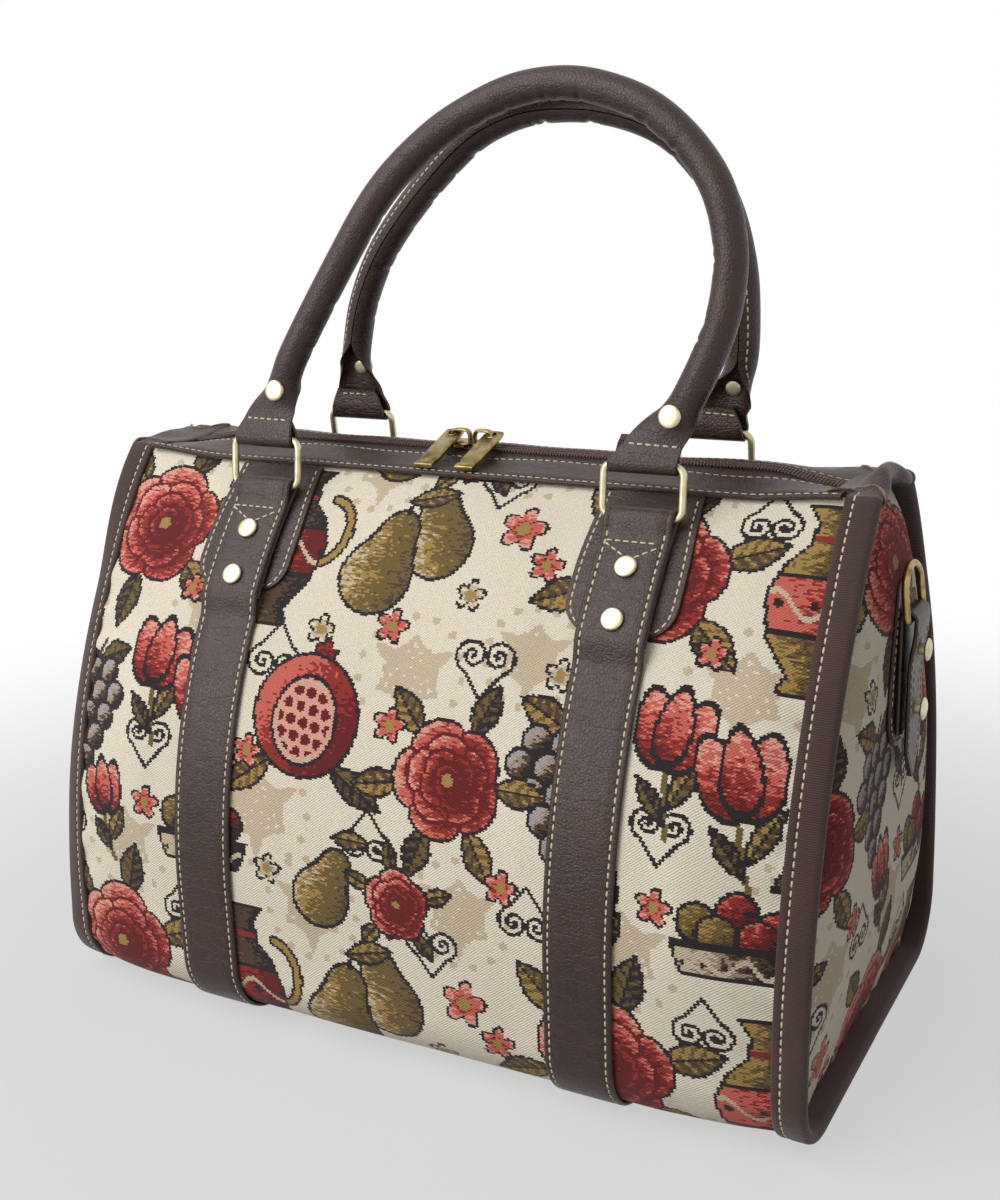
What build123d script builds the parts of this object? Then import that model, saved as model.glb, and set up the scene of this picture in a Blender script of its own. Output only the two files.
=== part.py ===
"""Zip-top tapestry holdall: sewn panels with bound end seams, leather straps, ring-hung rolled handles.

Millimetres, +Z up, +X along the bag, the front faces -Y. The origin is on the ground under the middle.
Round outlines are cut into the chord counts named below, so that sewn layers stay evenly apart.
"""
import os
from math import asin, atan2, cos, degrees, radians, sin, tan

from build123d import *

# Shell of sewn tapestry
seam_distance = 360.0         # between the inner edges of the two bound end seams
seam_width = 16.0             # bound seam, standing out past the end panel
body_height = 262.0           # top edge of the tapestry above the ground
top_depth = 52.0              # front to back at that edge
seam_belly_depth = 219.0      # widest front to back at the end seams
seam_belly_height = 50.0      # where the side leaves the upright at the end seams
middle_belly_depth = 231.0    # widest front to back between the straps
middle_belly_height = 70.0    # where the side leaves the upright between the straps
corner_radius = 30.0          # round lower edges
full_bulge_length = 256.0     # middle stretch with an even section
taper_middle_share = 0.55     # along the taper, where its middle section lies
taper_bulge_share = 0.7       # bulge that the middle section of the taper keeps
panel_thickness = 2.0
base_board_thickness = 3.0
base_board_margin = 6.0       # from the board to the walls
side_chord_count = 7
corner_chord_count = 4
fit = 0.2                     # between sewn layers
overrun = 10.0                # how far cutting tools reach past what they cut
flatness = 1e-7               # largest step off its plane in a flat facet

# End panels, domed outwards
end_dome_height = 15.0
end_dome_centre_share = 0.687  # of the body's height
end_dome_rise_shares = (0.0, 0.62, 1.0)
end_dome_size_shares = (1.0, 0.8, 0.55)
end_panel_inset = 4.0         # from the inner edge of the seam to the sewn line

# Seam binding
binding_thickness = 1.0
binding_inner_width = 9.0     # folded on to the inside of the seam

# Zip and its leather bands
zip_rise = 5.0                # of the bands beside the zip, over the tapestry edge
zip_gap = 13.0                # between the bands
band_thickness = 2.0
band_lap = 4.0                # of the band over the tapestry edge
zip_tape_thickness = 0.8
zip_tape_width = 13.0
zip_tape_slit = 1.6           # between the two tapes
coil_width = 5.6
coil_height = 2.2
end_cap_length = 20.0         # leather over each end of the zip
end_cap_thickness = 2.2
end_cap_lap = 8.0             # down over the tops of the seams
end_cap_overhang = 1.0        # past the end of the seam

# Straps and their patches
strap_spacing = 196.0
strap_width = 32.0
strap_thickness = 2.2
strap_fold_margin = 3.0       # of the folded double stretch, below the patch
strap_step_length = 12.0      # over which the strap comes down on to the tapestry
loop_drop = 13.0              # of the loop's axis, below the tapestry edge
patch_width = 52.0
patch_thickness = 1.6
patch_bottom_drop = 53.0      # below the tapestry edge
patch_top_drop = 5.0
patch_corner_radius = 14.0
upper_strap_rivet_drop = 30.4  # below the tapestry edge
lower_strap_rivet_drop = 48.9

# Rivets
rivet_head_diameter = 10.0
rivet_crown_diameter = 6.6
rivet_head_height = 1.8
rivet_shank_diameter = 3.2
rivet_side_count = 12
shank_side_count = 6

# Rectangular rings
ring_wire = 3.4
ring_side_gap = 0.7           # beside the strap
ring_bar_spacing = 22.5       # between the axes of the two bars
ring_lean_degrees = 7.0       # inwards, at rest
wire_side_count = 12
loop_gap = 0.4                # between a ring bar and the leather round it
loop_side_count = 16

# Rolled handles
handle_tube = 17.0
handle_side_count = 12
handle_height = 159.0         # from the upper ring bars to the middle of the grip
handle_touch_gap = 1.0        # between the two grips, leaning together
handle_leg_leans = {"front": 72.0, "back": 39.0}     # of the left leg, to the right, over the full height
handle_right_bulges = {"front": 33.0, "back": 14.0}  # of the right leg past its ring
handle_elbow_height = 50.0    # where the right leg turns back to its ring
handle_left_bend_shares = {"front": 0.42, "back": 0.55}   # of the run between the shoulders
handle_right_bend_shares = {"front": 0.56, "back": 0.44}  # of the same run
handle_elbow_bend_share = 0.8  # of the run from the neck to the elbow, taken by its bend
handle_bend_degrees = 11.0    # largest turn between two straight stretches of a bend
handle_tab_thickness = 2.2
handle_tab_hem = 11.0         # from the bar's axis to the hem
handle_tab_width = 32.0
handle_hem_width = 27.0
handle_neck_length = 34.0     # over which the tab rounds into the grip
handle_rivet_height = 24.0
handle_rivet_length = 8.0

# Sliders and pulls
slider_meeting = -8.0         # along the bag
slider_length = 11.0
slider_width = 8.0
slider_plate = 1.2
slider_gap = 0.3              # round the coil
slider_space = 1.0            # between the two sliders
bridge_width = 2.0
bridge_thickness = 1.4
pull_length = 35.0
pull_width = 9.5
pull_thickness = 2.0
pull_hole = 5.0
pull_hole_margin = 1.6        # beyond the hole
pull_gap = 0.4                # over the slider and the band, and under the bridge

# End loops for a carrying strap
end_strap_width = 22.0
end_strap_thickness = 2.2
end_strap_drop = 52.0         # from the tapestry edge to the axis of the D-ring's bar
end_strap_length = 74.0       # below that axis
end_strap_point = 14.0        # length of the pointed end
end_strap_back_length = 52.0  # of the inner ply
end_patch_width = 36.0
end_patch_neck = 20.0
end_patch_drop = 60.0         # below that axis
end_patch_rise = 16.0         # above it
end_patch_chord_count = 10
upper_end_rivet_drop = 15.0   # below it
lower_end_rivet_drop = 42.0
end_rivet_stand = 2.6         # collar under the head
d_ring_wire = 3.4
d_ring_side_gap = 0.8
d_ring_height = 24.0
d_ring_edge = 0.9             # chamfer of the wire
d_ring_chord_count = 10

# Places worked out from the sizes above
seam_start = seam_distance / 2
seam_end = seam_start + seam_width
seam_core_end = seam_end - binding_thickness - fit
fold_offset = 2 * fit + patch_thickness
floor = fit + strap_thickness
loop_inner_radius = ring_wire / 2 + loop_gap
strap_loop_radius = loop_inner_radius + strap_thickness
tab_loop_radius = loop_inner_radius + handle_tab_thickness
zip_height = body_height + zip_rise
loop_height = body_height - loop_drop
patch_bottom = body_height - patch_bottom_drop
patch_top = body_height - patch_top_drop
strap_fold_height = patch_bottom - strap_fold_margin
strap_rivet_heights = (body_height - upper_strap_rivet_drop, body_height - lower_strap_rivet_drop)
end_strap_top = body_height - end_strap_drop
end_strap_tip = end_strap_top - end_strap_length
end_patch_bottom = end_strap_top - end_patch_drop
end_patch_top = end_strap_top + end_patch_rise
end_rivet_heights = (end_strap_top - upper_end_rivet_drop, end_strap_top - lower_end_rivet_drop)
strap_places = (-strap_spacing / 2, strap_spacing / 2)
sides = {"front": -1, "back": 1}
ends = {"left": -1, "right": 1}


def steps(start, stop, count):
    """Evenly spaced values from start to stop, both included."""
    return [start + (stop - start) * step / count for step in range(count + 1)]


class Profile:
    """Half cross-section of the shell: flat bottom, round corner, upright belly, arched side."""

    def __init__(self, belly_depth, belly_height):
        self.half = belly_depth / 2
        self.belly_height = belly_height
        rise = body_height - belly_height
        run = self.half - top_depth / 2
        self.radius = (run ** 2 + rise ** 2) / (2 * run)
        self.centre = self.half - self.radius
        self.top_angle = asin(rise / self.radius)

    def angle_at(self, height):
        """Angle of the side's normal above the level, at a height of the bare tapestry."""
        return asin((height - self.belly_height) / self.radius)

    def side(self, angle, offset=0.0):
        """Point of the arched side, as (y, z), moved outwards by an offset."""
        reach = self.radius + offset
        return (self.centre + reach * cos(angle), self.belly_height + reach * sin(angle))

    def corner(self, angle, offset=0.0):
        """Point of the round lower corner, as (y, z)."""
        reach = corner_radius + offset
        return (self.half - corner_radius + reach * cos(angle), floor + corner_radius + reach * sin(angle))

    def outline(self, offset, top_angle=None):
        """Points from the edge of the flat bottom up to an angle of the side."""
        top = self.top_angle if top_angle is None else top_angle
        lower = [self.corner(angle, offset) for angle in steps(radians(-90), 0.0, corner_chord_count)]
        upper = [self.side(angle, offset) for angle in steps(0.0, top, side_chord_count)]
        return lower + upper


seam_profile = Profile(seam_belly_depth, seam_belly_height)
middle_profile = Profile(middle_belly_depth, middle_belly_height)
taper_profile = Profile(
    seam_belly_depth + (middle_belly_depth - seam_belly_depth) * taper_bulge_share,
    seam_belly_height + (middle_belly_height - seam_belly_height) * taper_bulge_share,
)


def mirrored(points):
    """The same section points on the other side of the bag."""
    return [(-y, z) for y, z in points]


def at_place(points, x, side=1):
    """Section points at one place along the bag."""
    return [Vector(x, side * y, z) for y, z in points]


def flat_face(*points):
    """Flat face with the given corners."""
    return Face(Wire.make_polygon(points))


def facets(a, b, c, d):
    """The faces of one four-cornered patch: one if it is flat, else two triangles."""
    normal = (b - a).cross(d - a).normalized()
    if abs(normal.dot(c - a)) < flatness:
        return [flat_face(a, b, c, d)]
    return [flat_face(a, b, c), flat_face(a, c, d)]


def faceted(rings):
    """Solid through closed rings of points, each ring joined to the next by flat facets."""
    faces = [flat_face(*rings[0]), flat_face(*rings[-1])]
    for ring_points, following in zip(rings, rings[1:]):
        count = len(ring_points)
        for i in range(count):
            j = (i + 1) % count
            faces += facets(ring_points[i], ring_points[j], following[j], following[i])
    return Solid(Shell(faces))


def along_bag(points, start, stop, side=1):
    """Solid of one section, from one place along the bag to another."""
    return Solid.extrude(flat_face(*at_place(points, start, side)), Vector(stop - start, 0, 0))


def wall(profile, inner, outer):
    """Section of one side wall between two offsets."""
    return profile.outline(outer) + profile.outline(inner)[::-1]


def trough(profile, inner, outer):
    """Section of front, bottom and back together, between two offsets."""
    outside = mirrored(profile.outline(outer))[::-1] + profile.outline(outer)
    inside = profile.outline(inner)[::-1] + mirrored(profile.outline(inner))
    return outside + inside


def at_end(shape, end):
    """A shape made for the right end, at either end."""
    return shape if end > 0 else mirror(shape, Plane.YZ)


def at_side(shape, side):
    """A shape made for the back, on either side."""
    return shape if side > 0 else mirror(shape, Plane.XZ)


# Rivets, with the seat of the head at z = 0 and the shank running down
def rivet_hole(depth):
    """Hole for a rivet's shank."""
    hole = extrude(RegularPolygon(rivet_shank_diameter / 2, shank_side_count), depth + overrun)
    return Pos(0, 0, -depth) * hole


def rivet(depth, stand=0.0):
    """Capped rivet, its head on a collar that stands up from the seat."""
    shank = extrude(RegularPolygon(rivet_shank_diameter / 2 - fit / 2, shank_side_count), depth + stand)
    around = steps(0.0, radians(360), rivet_side_count)[1:]
    base = [Vector(cos(a), sin(a)) * (rivet_head_diameter / 2) for a in around]
    lift = Vector(0, 0, rivet_head_height)
    crown = [Vector(cos(a), sin(a)) * (rivet_crown_diameter / 2) + lift for a in around]
    return Pos(0, 0, -depth) * shank + Pos(0, 0, stand) * faceted([base, crown])


def strap_rivet_place(height):
    """Seat of a rivet on the back of a strap at the middle of the bag, Z outwards."""
    angle = middle_profile.angle_at(height)
    y, z = middle_profile.side(angle, fold_offset + 2 * strap_thickness + fit)
    return Pos(0, y, z) * Rot(degrees(angle) - 90, 0, 0)


strap_rivet_depth = fold_offset + 2 * strap_thickness + fit + panel_thickness


def without_strap_rivets(shape, x=0.0):
    """A layer on the back of the bag with the holes for one strap's rivets."""
    for height in strap_rivet_heights:
        shape = shape - Pos(x, 0, 0) * strap_rivet_place(height) * rivet_hole(strap_rivet_depth + overrun)
    return shape


def strap_rivets(side):
    """The rivets through both straps on one side of the bag."""
    group = []
    for x in strap_places:
        for height in strap_rivet_heights:
            placed = Pos(x, 0, 0) * strap_rivet_place(height) * rivet(strap_rivet_depth)
            group.append(at_side(placed, side))
    return Compound(group)


# Tapestry shell
def shell_sections():
    """Places along the bag with the profile at each."""
    full = full_bulge_length / 2
    middle = full + (seam_start - full) * taper_middle_share
    half = [(full, middle_profile), (middle, taper_profile), (seam_start, seam_profile)]
    half.append((seam_core_end, seam_profile))
    return [(-x, profile) for x, profile in reversed(half)] + half


def side_panel(side):
    """Front or back panel with its round lower edge."""
    panel = faceted([at_place(wall(profile, -panel_thickness, 0.0), x) for x, profile in shell_sections()])
    for x in strap_places:
        panel = without_strap_rivets(panel, x)
    return at_side(panel, side)


def bottom_panel():
    """Flat bottom between the two round edges."""
    rings = []
    top = floor + panel_thickness
    for x, profile in shell_sections():
        edge = profile.half - corner_radius - fit
        rings.append(at_place([(-edge, floor), (edge, floor), (edge, top), (-edge, top)], x))
    return faceted(rings)


def base_board():
    """Stiff board that keeps the bottom flat."""
    length = seam_distance - 2 * base_board_margin
    width = min(seam_belly_depth, middle_belly_depth) - 2 * corner_radius
    board = Box(length, width, base_board_thickness)
    board = chamfer(board.edges().filter_by(Axis.Z), base_board_margin)
    return Pos(0, 0, floor + panel_thickness + fit + base_board_thickness / 2) * board


end_base = seam_start + end_panel_inset
end_face = end_base + end_dome_height


def end_dome(base):
    """Solid under the domed face of an end panel."""
    edge = seam_profile.outline(-panel_thickness - fit)
    outline = mirrored(edge)[::-1] + edge
    middle = end_dome_centre_share * body_height
    rings = []
    for rise, size in zip(end_dome_rise_shares, end_dome_size_shares):
        shrunk = [(size * y, middle + size * (z - middle)) for y, z in outline]
        rings.append(at_place(shrunk, base + rise * end_dome_height))
    return faceted(rings)


def end_panel(end):
    """Domed end panel with its edge turned outwards into the seam."""
    outer = -panel_thickness - fit
    flange = trough(seam_profile, outer - panel_thickness, outer)
    panel = along_bag(flange, end_base - panel_thickness, seam_core_end)
    panel = panel + (end_dome(end_base) - end_dome(end_base - panel_thickness))
    return at_end(without_end_rivets(panel), end)


def binding(end):
    """Grosgrain folded over the raised seam."""
    inner = -2 * panel_thickness - 2 * fit
    whole = along_bag(
        trough(seam_profile, inner - binding_thickness, fit + binding_thickness), seam_start, seam_end
    )
    slot = along_bag(trough(seam_profile, inner, fit), seam_start - overrun, seam_end - binding_thickness)
    step = along_bag(
        trough(seam_profile, inner - overrun, fit), seam_start - overrun, seam_end - binding_inner_width
    )
    return at_end(whole - slot - step, end)


# Zip bands, sloping from the tapestry edge up to the zip
band_start = Vector(0, top_depth / 2, body_height)
band_stop = Vector(0, zip_gap / 2, zip_height)
band_run = (band_stop - band_start).normalized()
band_normal = Vector(0, band_run.Z, -band_run.Y)
band_slope_length = (band_stop - band_start).length
band_end = seam_start - fit


def band_point(along, above):
    """Point of the back band's section, as (y, z): along its slope from the tapestry edge, and above it."""
    place = band_start + band_run * along + band_normal * above
    return (place.Y, place.Z)


def band_strip(start, stop, lower, upper):
    """Section of a sloping strip beside the zip."""
    below = [band_point(start, lower), band_point(stop, lower)]
    return below + [band_point(stop, upper), band_point(start, upper)]


def to_centre(gap):
    """Distance along the band's slope at which a gap to the middle of the bag is left."""
    return (top_depth / 2 - gap) / -band_run.Y


def zip_band(side):
    """Leather band between the tapestry and the zip."""
    strip = band_strip(-band_lap, band_slope_length, fit, fit + band_thickness)
    return along_bag(strip, -band_end, band_end, side)


def zip_tape(side):
    """Woven tape under the band, up to the coil."""
    stop = to_centre(zip_tape_slit / 2)
    strip = band_strip(stop - zip_tape_width, stop, -zip_tape_thickness, 0.0)
    return along_bag(strip, -band_end, band_end, side)


coil_bottom = band_point(to_centre(zip_tape_slit / 2), 0.0)[1] + fit
coil_top = coil_bottom + coil_height


def zip_coil():
    """Closed coil of the zip, as one ridge."""
    ridge = Box(2 * band_end, coil_width, coil_height)
    rim = ridge.edges().filter_by(Axis.X).group_by(Axis.Z)[-1]
    return Pos(0, 0, coil_bottom + coil_height / 2) * chamfer(rim, coil_height / 3)


def end_cap(end):
    """Leather saddle over the end of the zip and the tops of the seams."""
    lower = 2 * fit + band_thickness
    ridge = to_centre(coil_width / 2)
    clear = max(lower, (coil_top + fit - band_point(ridge, 0.0)[1]) / band_normal.Z)
    under = [band_point(-end_cap_lap, lower), band_point(ridge, clear)]
    over = [band_point(-end_cap_lap, lower + end_cap_thickness), band_point(ridge, clear + end_cap_thickness)]
    section = under + mirrored(under)[::-1] + mirrored(over) + over[::-1]
    stop = seam_end + end_cap_overhang
    return at_end(along_bag(section, stop - end_cap_length, stop), end)


# Straps and patches, on the middle section
loop_angle = middle_profile.angle_at(loop_height)
loop_axis = middle_profile.side(loop_angle, fold_offset + strap_loop_radius)


def bar_along_x(radius, length, place, count):
    """Faceted round bar along the bag, centred on x = 0, at (y, z)."""
    bar = extrude(RegularPolygon(radius, count), length)
    return Pos(-length / 2, *place) * Rot(0, 90, 0) * bar


def strap_face(low_offset, high_offset):
    """One face of a strap: close to the tapestry below, over the fold above."""
    fold_angle = middle_profile.angle_at(strap_fold_height)
    step_angle = fold_angle - strap_step_length / middle_profile.radius
    low = [(0.0, floor - low_offset)] + middle_profile.outline(low_offset, step_angle)
    fold_angles = steps(fold_angle, loop_angle, side_chord_count)
    return low + [middle_profile.side(angle, high_offset) for angle in fold_angles]


def strap(x):
    """One strap, folded round its front ring, under the bag and up to its back ring."""
    inner = strap_face(fit, fold_offset)
    outer = strap_face(fit + strap_thickness, fold_offset + 2 * strap_thickness)
    half = along_bag(outer + inner[::-1], -strap_width / 2, strap_width / 2)
    half = half + bar_along_x(strap_loop_radius, strap_width, loop_axis, loop_side_count)
    half = half - bar_along_x(loop_inner_radius, strap_width + overrun, loop_axis, loop_side_count)
    half = without_strap_rivets(half)
    return Pos(x, 0, 0) * (half + mirror(half, Plane.XZ))


def patch(x, side):
    """Leather patch with round lower corners under the upper end of a strap."""
    low_angle = middle_profile.angle_at(patch_bottom)
    high_angle = middle_profile.angle_at(patch_top)
    angles = steps(low_angle, high_angle, side_chord_count)
    outer = [middle_profile.side(angle, fit + patch_thickness) for angle in angles]
    inner = [middle_profile.side(angle, fit) for angle in angles]
    layer = along_bag(outer + inner[::-1], -patch_width / 2, patch_width / 2)
    lowest = inner[0][1]
    reach = patch_width / 2 - patch_corner_radius
    turn = steps(radians(-90), 0.0, corner_chord_count)
    right = [(reach + patch_corner_radius * cos(a), patch_corner_radius * (1 + sin(a))) for a in turn]
    right.append((patch_width / 2, body_height))
    outline = right + [(-u, v) for u, v in right[::-1]]
    front_view = Plane(origin=(0, 0, lowest), x_dir=(1, 0, 0), z_dir=(0, -1, 0))
    layer = layer & extrude(front_view * make_face(Polyline(*outline, close=True)), -middle_belly_depth)
    return at_side(Pos(x, 0, 0) * without_strap_rivets(layer), side)


# Rings and handles, laid out on the back of the bag and mirrored to the front
ring_lean = radians(ring_lean_degrees)
upper_axis = (
    loop_axis[0] - ring_bar_spacing * sin(ring_lean),
    loop_axis[1] + ring_bar_spacing * cos(ring_lean),
)
handle_lean = asin((upper_axis[0] - handle_tube / 2 - handle_touch_gap / 2) / handle_height)
handle_plane = Plane(
    origin=(0, *upper_axis),
    x_dir=(1, 0, 0),
    z_dir=(0, -cos(handle_lean), -sin(handle_lean)),
)


def ring(x, side):
    """Rectangular ring of round wire, with its lower bar in a strap's loop."""
    half = (strap_width + ring_wire) / 2 + ring_side_gap
    low = Vector(0, *loop_axis)
    high = Vector(0, *upper_axis)
    left = Vector(-half, 0, 0)
    right = Vector(half, 0, 0)
    middle = (low + high) / 2
    path = Wire.make_polygon([middle + right, high + right, high + left, low + left, low + right], close=True)
    section = Plane(origin=middle + right, z_dir=high - low) * RegularPolygon(ring_wire / 2, wire_side_count)
    wire = sweep(section, path=path, transition=Transition.RIGHT)
    return at_side(Pos(x, 0, 0) * wire, side)


def bend(before, corner, after, tangent):
    """Points round a corner, on the arc that takes a given length of the runs beside it."""
    arrive = (corner - before).normalized()
    leave = (after - corner).normalized()
    turn = radians(arrive.get_angle(leave))
    radius = tangent / tan(turn / 2)
    start = corner - arrive * tangent
    inward = (leave - arrive * leave.dot(arrive)).normalized()
    count = int(degrees(turn) / handle_bend_degrees) + 1
    angles = steps(0.0, turn, count)
    return [start + arrive * radius * sin(a) + inward * radius * (1 - cos(a)) for a in angles]


class Arch:
    """Middle line of one handle, in the plane of its arch."""

    def __init__(self, name):
        outer = strap_spacing / 2
        bulge = outer + handle_right_bulges[name]
        self.left_bend_share = handle_left_bend_shares[name]
        self.right_bend_share = handle_right_bend_shares[name]
        self.left_tab = Vector(-outer, 0)
        self.right_tab = Vector(outer, 0)
        self.left_shoulder = Vector(handle_leg_leans[name] - outer, handle_height)
        self.right_shoulder = Vector(bulge, handle_height)
        self.right_elbow = Vector(bulge, handle_elbow_height)
        self.left_leg = (self.left_shoulder - self.left_tab).normalized()
        self.right_leg = (self.right_elbow - self.right_tab).normalized()

    def feet(self):
        """The two tabs, each with the direction of its leg."""
        return ((self.left_tab, self.left_leg), (self.right_tab, self.right_leg))

    def grip(self):
        """Points of the middle line from neck to neck."""
        start, stop = [tab + leg * (handle_tab_hem + handle_neck_length) for tab, leg in self.feet()]
        top_run = (self.right_shoulder - self.left_shoulder).length
        elbow_run = (self.right_elbow - stop).length
        path = [start]
        path += bend(start, self.left_shoulder, self.right_shoulder, self.left_bend_share * top_run)
        path += bend(
            self.left_shoulder, self.right_shoulder, self.right_elbow, self.right_bend_share * top_run
        )
        path += bend(self.right_shoulder, self.right_elbow, stop, handle_elbow_bend_share * elbow_run)
        return path + [stop]


arches = {name: Arch(name) for name in sides}


def handle_section(place, direction, half_width, half_depth):
    """Faceted oval section of a handle, square to a direction in the plane of the arch."""
    across = Vector(direction.Y, -direction.X)
    points = []
    for angle in steps(0.0, radians(360), handle_side_count)[1:]:
        points.append(place + across * half_width * cos(angle) + Vector(0, 0, half_depth * sin(angle)))
    return points


def tab_sections(tab, leg, heading):
    """Sections of a tab, from its loop to its hem."""
    foot = handle_section(tab, heading, handle_tab_width / 2, tab_loop_radius)
    hem = handle_section(tab + leg * handle_tab_hem, heading, handle_hem_width / 2, tab_loop_radius)
    return [foot, hem]


def handle_rivet_place(tab, leg):
    """Seat of a rivet on the outer face of a tab's neck, Z outwards, in the plane of the arch."""
    spread = (handle_tube / 2 - tab_loop_radius) / handle_neck_length
    half = tab_loop_radius + spread * (handle_rivet_height - handle_tab_hem)
    seat = tab + leg * handle_rivet_height + Vector(0, 0, -half - fit)
    outward = Vector(0, 0, -1) - leg * spread
    return Plane(origin=seat, x_dir=(leg.Y, -leg.X, 0), z_dir=outward)


def handle(name):
    """Rolled leather handle: loops round the ring bars, flat hems, necks that round into the grip."""
    arch = arches[name]
    path = arch.grip()
    radius = handle_tube / 2
    up = Vector(0, 1)
    sections = tab_sections(arch.left_tab, arch.left_leg, up)
    headings = [arch.left_leg]
    for before, place, after in zip(path, path[1:], path[2:]):
        headings.append(((place - before).normalized() + (after - place).normalized()).normalized())
    headings.append(arch.right_leg * -1)
    for place, heading in zip(path, headings):
        sections.append(handle_section(place, heading, radius, radius))
    sections += tab_sections(arch.right_tab, arch.right_leg, up * -1)[::-1]
    whole = faceted(sections)
    for tab, leg in arch.feet():
        loop = bar_along_x(tab_loop_radius, handle_tab_width, (0.0, 0.0), loop_side_count)
        eye = bar_along_x(loop_inner_radius, handle_tab_width + overrun, (0.0, 0.0), loop_side_count)
        whole = whole + Pos(tab.X, 0, 0) * loop - Pos(tab.X, 0, 0) * eye
        whole = whole - handle_rivet_place(tab, leg) * rivet_hole(handle_rivet_length + fit)
    return at_side(handle_plane * whole, sides[name])


def handle_rivets(name):
    """The two rivets of a handle."""
    group = []
    for tab, leg in arches[name].feet():
        placed = handle_plane * handle_rivet_place(tab, leg) * rivet(handle_rivet_length)
        group.append(at_side(placed, sides[name]))
    return Compound(group)


# Sliders, and pulls that lie on the front band
slider_top = coil_top + slider_gap + slider_plate
pull_high = (slider_width / 2, slider_top + pull_gap)
pull_low = band_point(-band_lap, fit + band_thickness + pull_gap)
pull_slope = atan2(pull_high[1] - pull_low[1], pull_low[0] - pull_high[0])
pull_lift = slider_top + pull_gap + tan(pull_slope) * slider_width / 2
bridge_inner_height = pull_lift - slider_top + pull_thickness / cos(pull_slope) + pull_gap
bridge_inner_height += tan(pull_slope) * bridge_width / 2
bridge_leg = slider_length / 2 - bridge_thickness / 2
slider_middle = (slider_length + slider_space) / 2


def slider(end):
    """Zip slider: top plate, lips down beside the coil, and a bridge along the zip."""
    plate = Box(slider_length, slider_width, slider_plate)
    plate = chamfer(plate.edges().filter_by(Axis.Z), slider_width / 4)
    whole = Pos(0, 0, slider_top - slider_plate / 2) * plate
    lip_width = (slider_width - coil_width) / 2 - slider_gap
    lip_depth = coil_height / 2 + slider_gap
    for side in sides.values():
        y = side * (slider_width - lip_width) / 2
        z = slider_top - slider_plate - lip_depth / 2
        whole += Pos(0, y, z) * Box(slider_length / 2, lip_width, lip_depth)
    tall = bridge_inner_height + bridge_thickness
    arch = Box(slider_length, bridge_width, tall)
    arch = chamfer(arch.edges().filter_by(Axis.Y).group_by(Axis.Z)[-1], bridge_thickness)
    arch -= Pos(0, 0, -bridge_thickness / 2) * Box(
        slider_length - 2 * bridge_thickness, bridge_width + overrun, bridge_inner_height
    )
    whole += Pos(0, 0, slider_top + tall / 2) * arch
    return Pos(slider_meeting + end * slider_middle, 0, 0) * whole


def pull(end):
    """Flat pull, hung by its hole on the outer leg of a slider's bridge."""
    middle = pull_hole / 2 + pull_hole_margin - pull_length / 2
    centred = tan(pull_slope) * pull_thickness / 2
    plate = Pos(0, middle, pull_thickness / 2) * Box(pull_width, pull_length, pull_thickness)
    rim = plate.edges().filter_by(Axis.Z).group_by(Axis.Y)[-1]
    plate = chamfer(rim, pull_width / 4)
    plate -= Pos(0, 0, -overrun) * extrude(RegularPolygon(pull_hole / 2, wire_side_count), 2 * overrun)
    x = slider_meeting + end * (slider_middle + bridge_leg)
    return Pos(x, 0, pull_lift) * Rot(degrees(pull_slope), 0, 0) * Pos(0, centred, 0) * plate


# End loops, laid out on the right end
end_strap_inner = end_face + patch_thickness + 2 * fit
d_ring_axis = end_strap_inner + end_strap_thickness + loop_gap + d_ring_wire / 2
end_loop_radius = d_ring_wire / 2 + loop_gap + end_strap_thickness
end_outer_face = d_ring_axis + end_loop_radius
end_rivet_depth = end_outer_face + fit - end_face + panel_thickness


def end_rivet_place(height):
    """Seat of a rivet on the outer ply, Z outwards."""
    return Pos(end_outer_face + fit, 0, height) * Rot(0, 90, 0)


def without_end_rivets(shape):
    """A layer of the right end with the holes for its rivets."""
    for height in end_rivet_heights:
        shape = shape - end_rivet_place(height) * rivet_hole(end_rivet_depth + fit)
    return shape


def facing_end(x):
    """Plane across the bag at a place along it, with its x along +Y and its y up."""
    return Plane(origin=(x, 0, 0), x_dir=(0, 1, 0), z_dir=(1, 0, 0))


def end_patch(end):
    """Pear-shaped patch on the end panel."""
    wide = end_patch_width / 2
    belly = end_patch_bottom + wide
    foot = [(wide * cos(a), belly + wide * sin(a)) for a in steps(radians(-180), 0.0, end_patch_chord_count)]
    outline = foot + [(end_patch_neck / 2, end_patch_top), (-end_patch_neck / 2, end_patch_top)]
    face = make_face(Polyline(*outline, close=True))
    plate = extrude(facing_end(end_face + fit) * face, patch_thickness)
    return at_end(without_end_rivets(plate), end)


def end_strap(end):
    """Leather strap folded round the bar of the D-ring, its outer ply cut to a point."""
    half = end_strap_width / 2
    shoulder = end_strap_tip + end_strap_point
    outline = [(-half, end_strap_top), (half, end_strap_top), (half, shoulder)]
    outline += [(0, end_strap_tip), (-half, shoulder)]
    face = make_face(Polyline(*outline, close=True))
    outer = extrude(facing_end(end_outer_face - end_strap_thickness) * face, end_strap_thickness)
    inner = Pos(
        end_strap_inner + end_strap_thickness / 2, 0, end_strap_top - end_strap_back_length / 2
    ) * Box(end_strap_thickness, end_strap_width, end_strap_back_length)
    over = steps(0.0, radians(180), loop_side_count // 2)
    bore = end_loop_radius - end_strap_thickness
    arch = [(end_loop_radius * cos(a), end_loop_radius * sin(a)) for a in over]
    arch += [(bore * cos(a), bore * sin(a)) for a in over[::-1]]
    across = Plane(origin=(d_ring_axis, half, end_strap_top), x_dir=(1, 0, 0), z_dir=(0, -1, 0))
    loop = extrude(across * make_face(Polyline(*arch, close=True)), end_strap_width)
    return at_end(without_end_rivets(outer + inner + loop), end)


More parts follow.
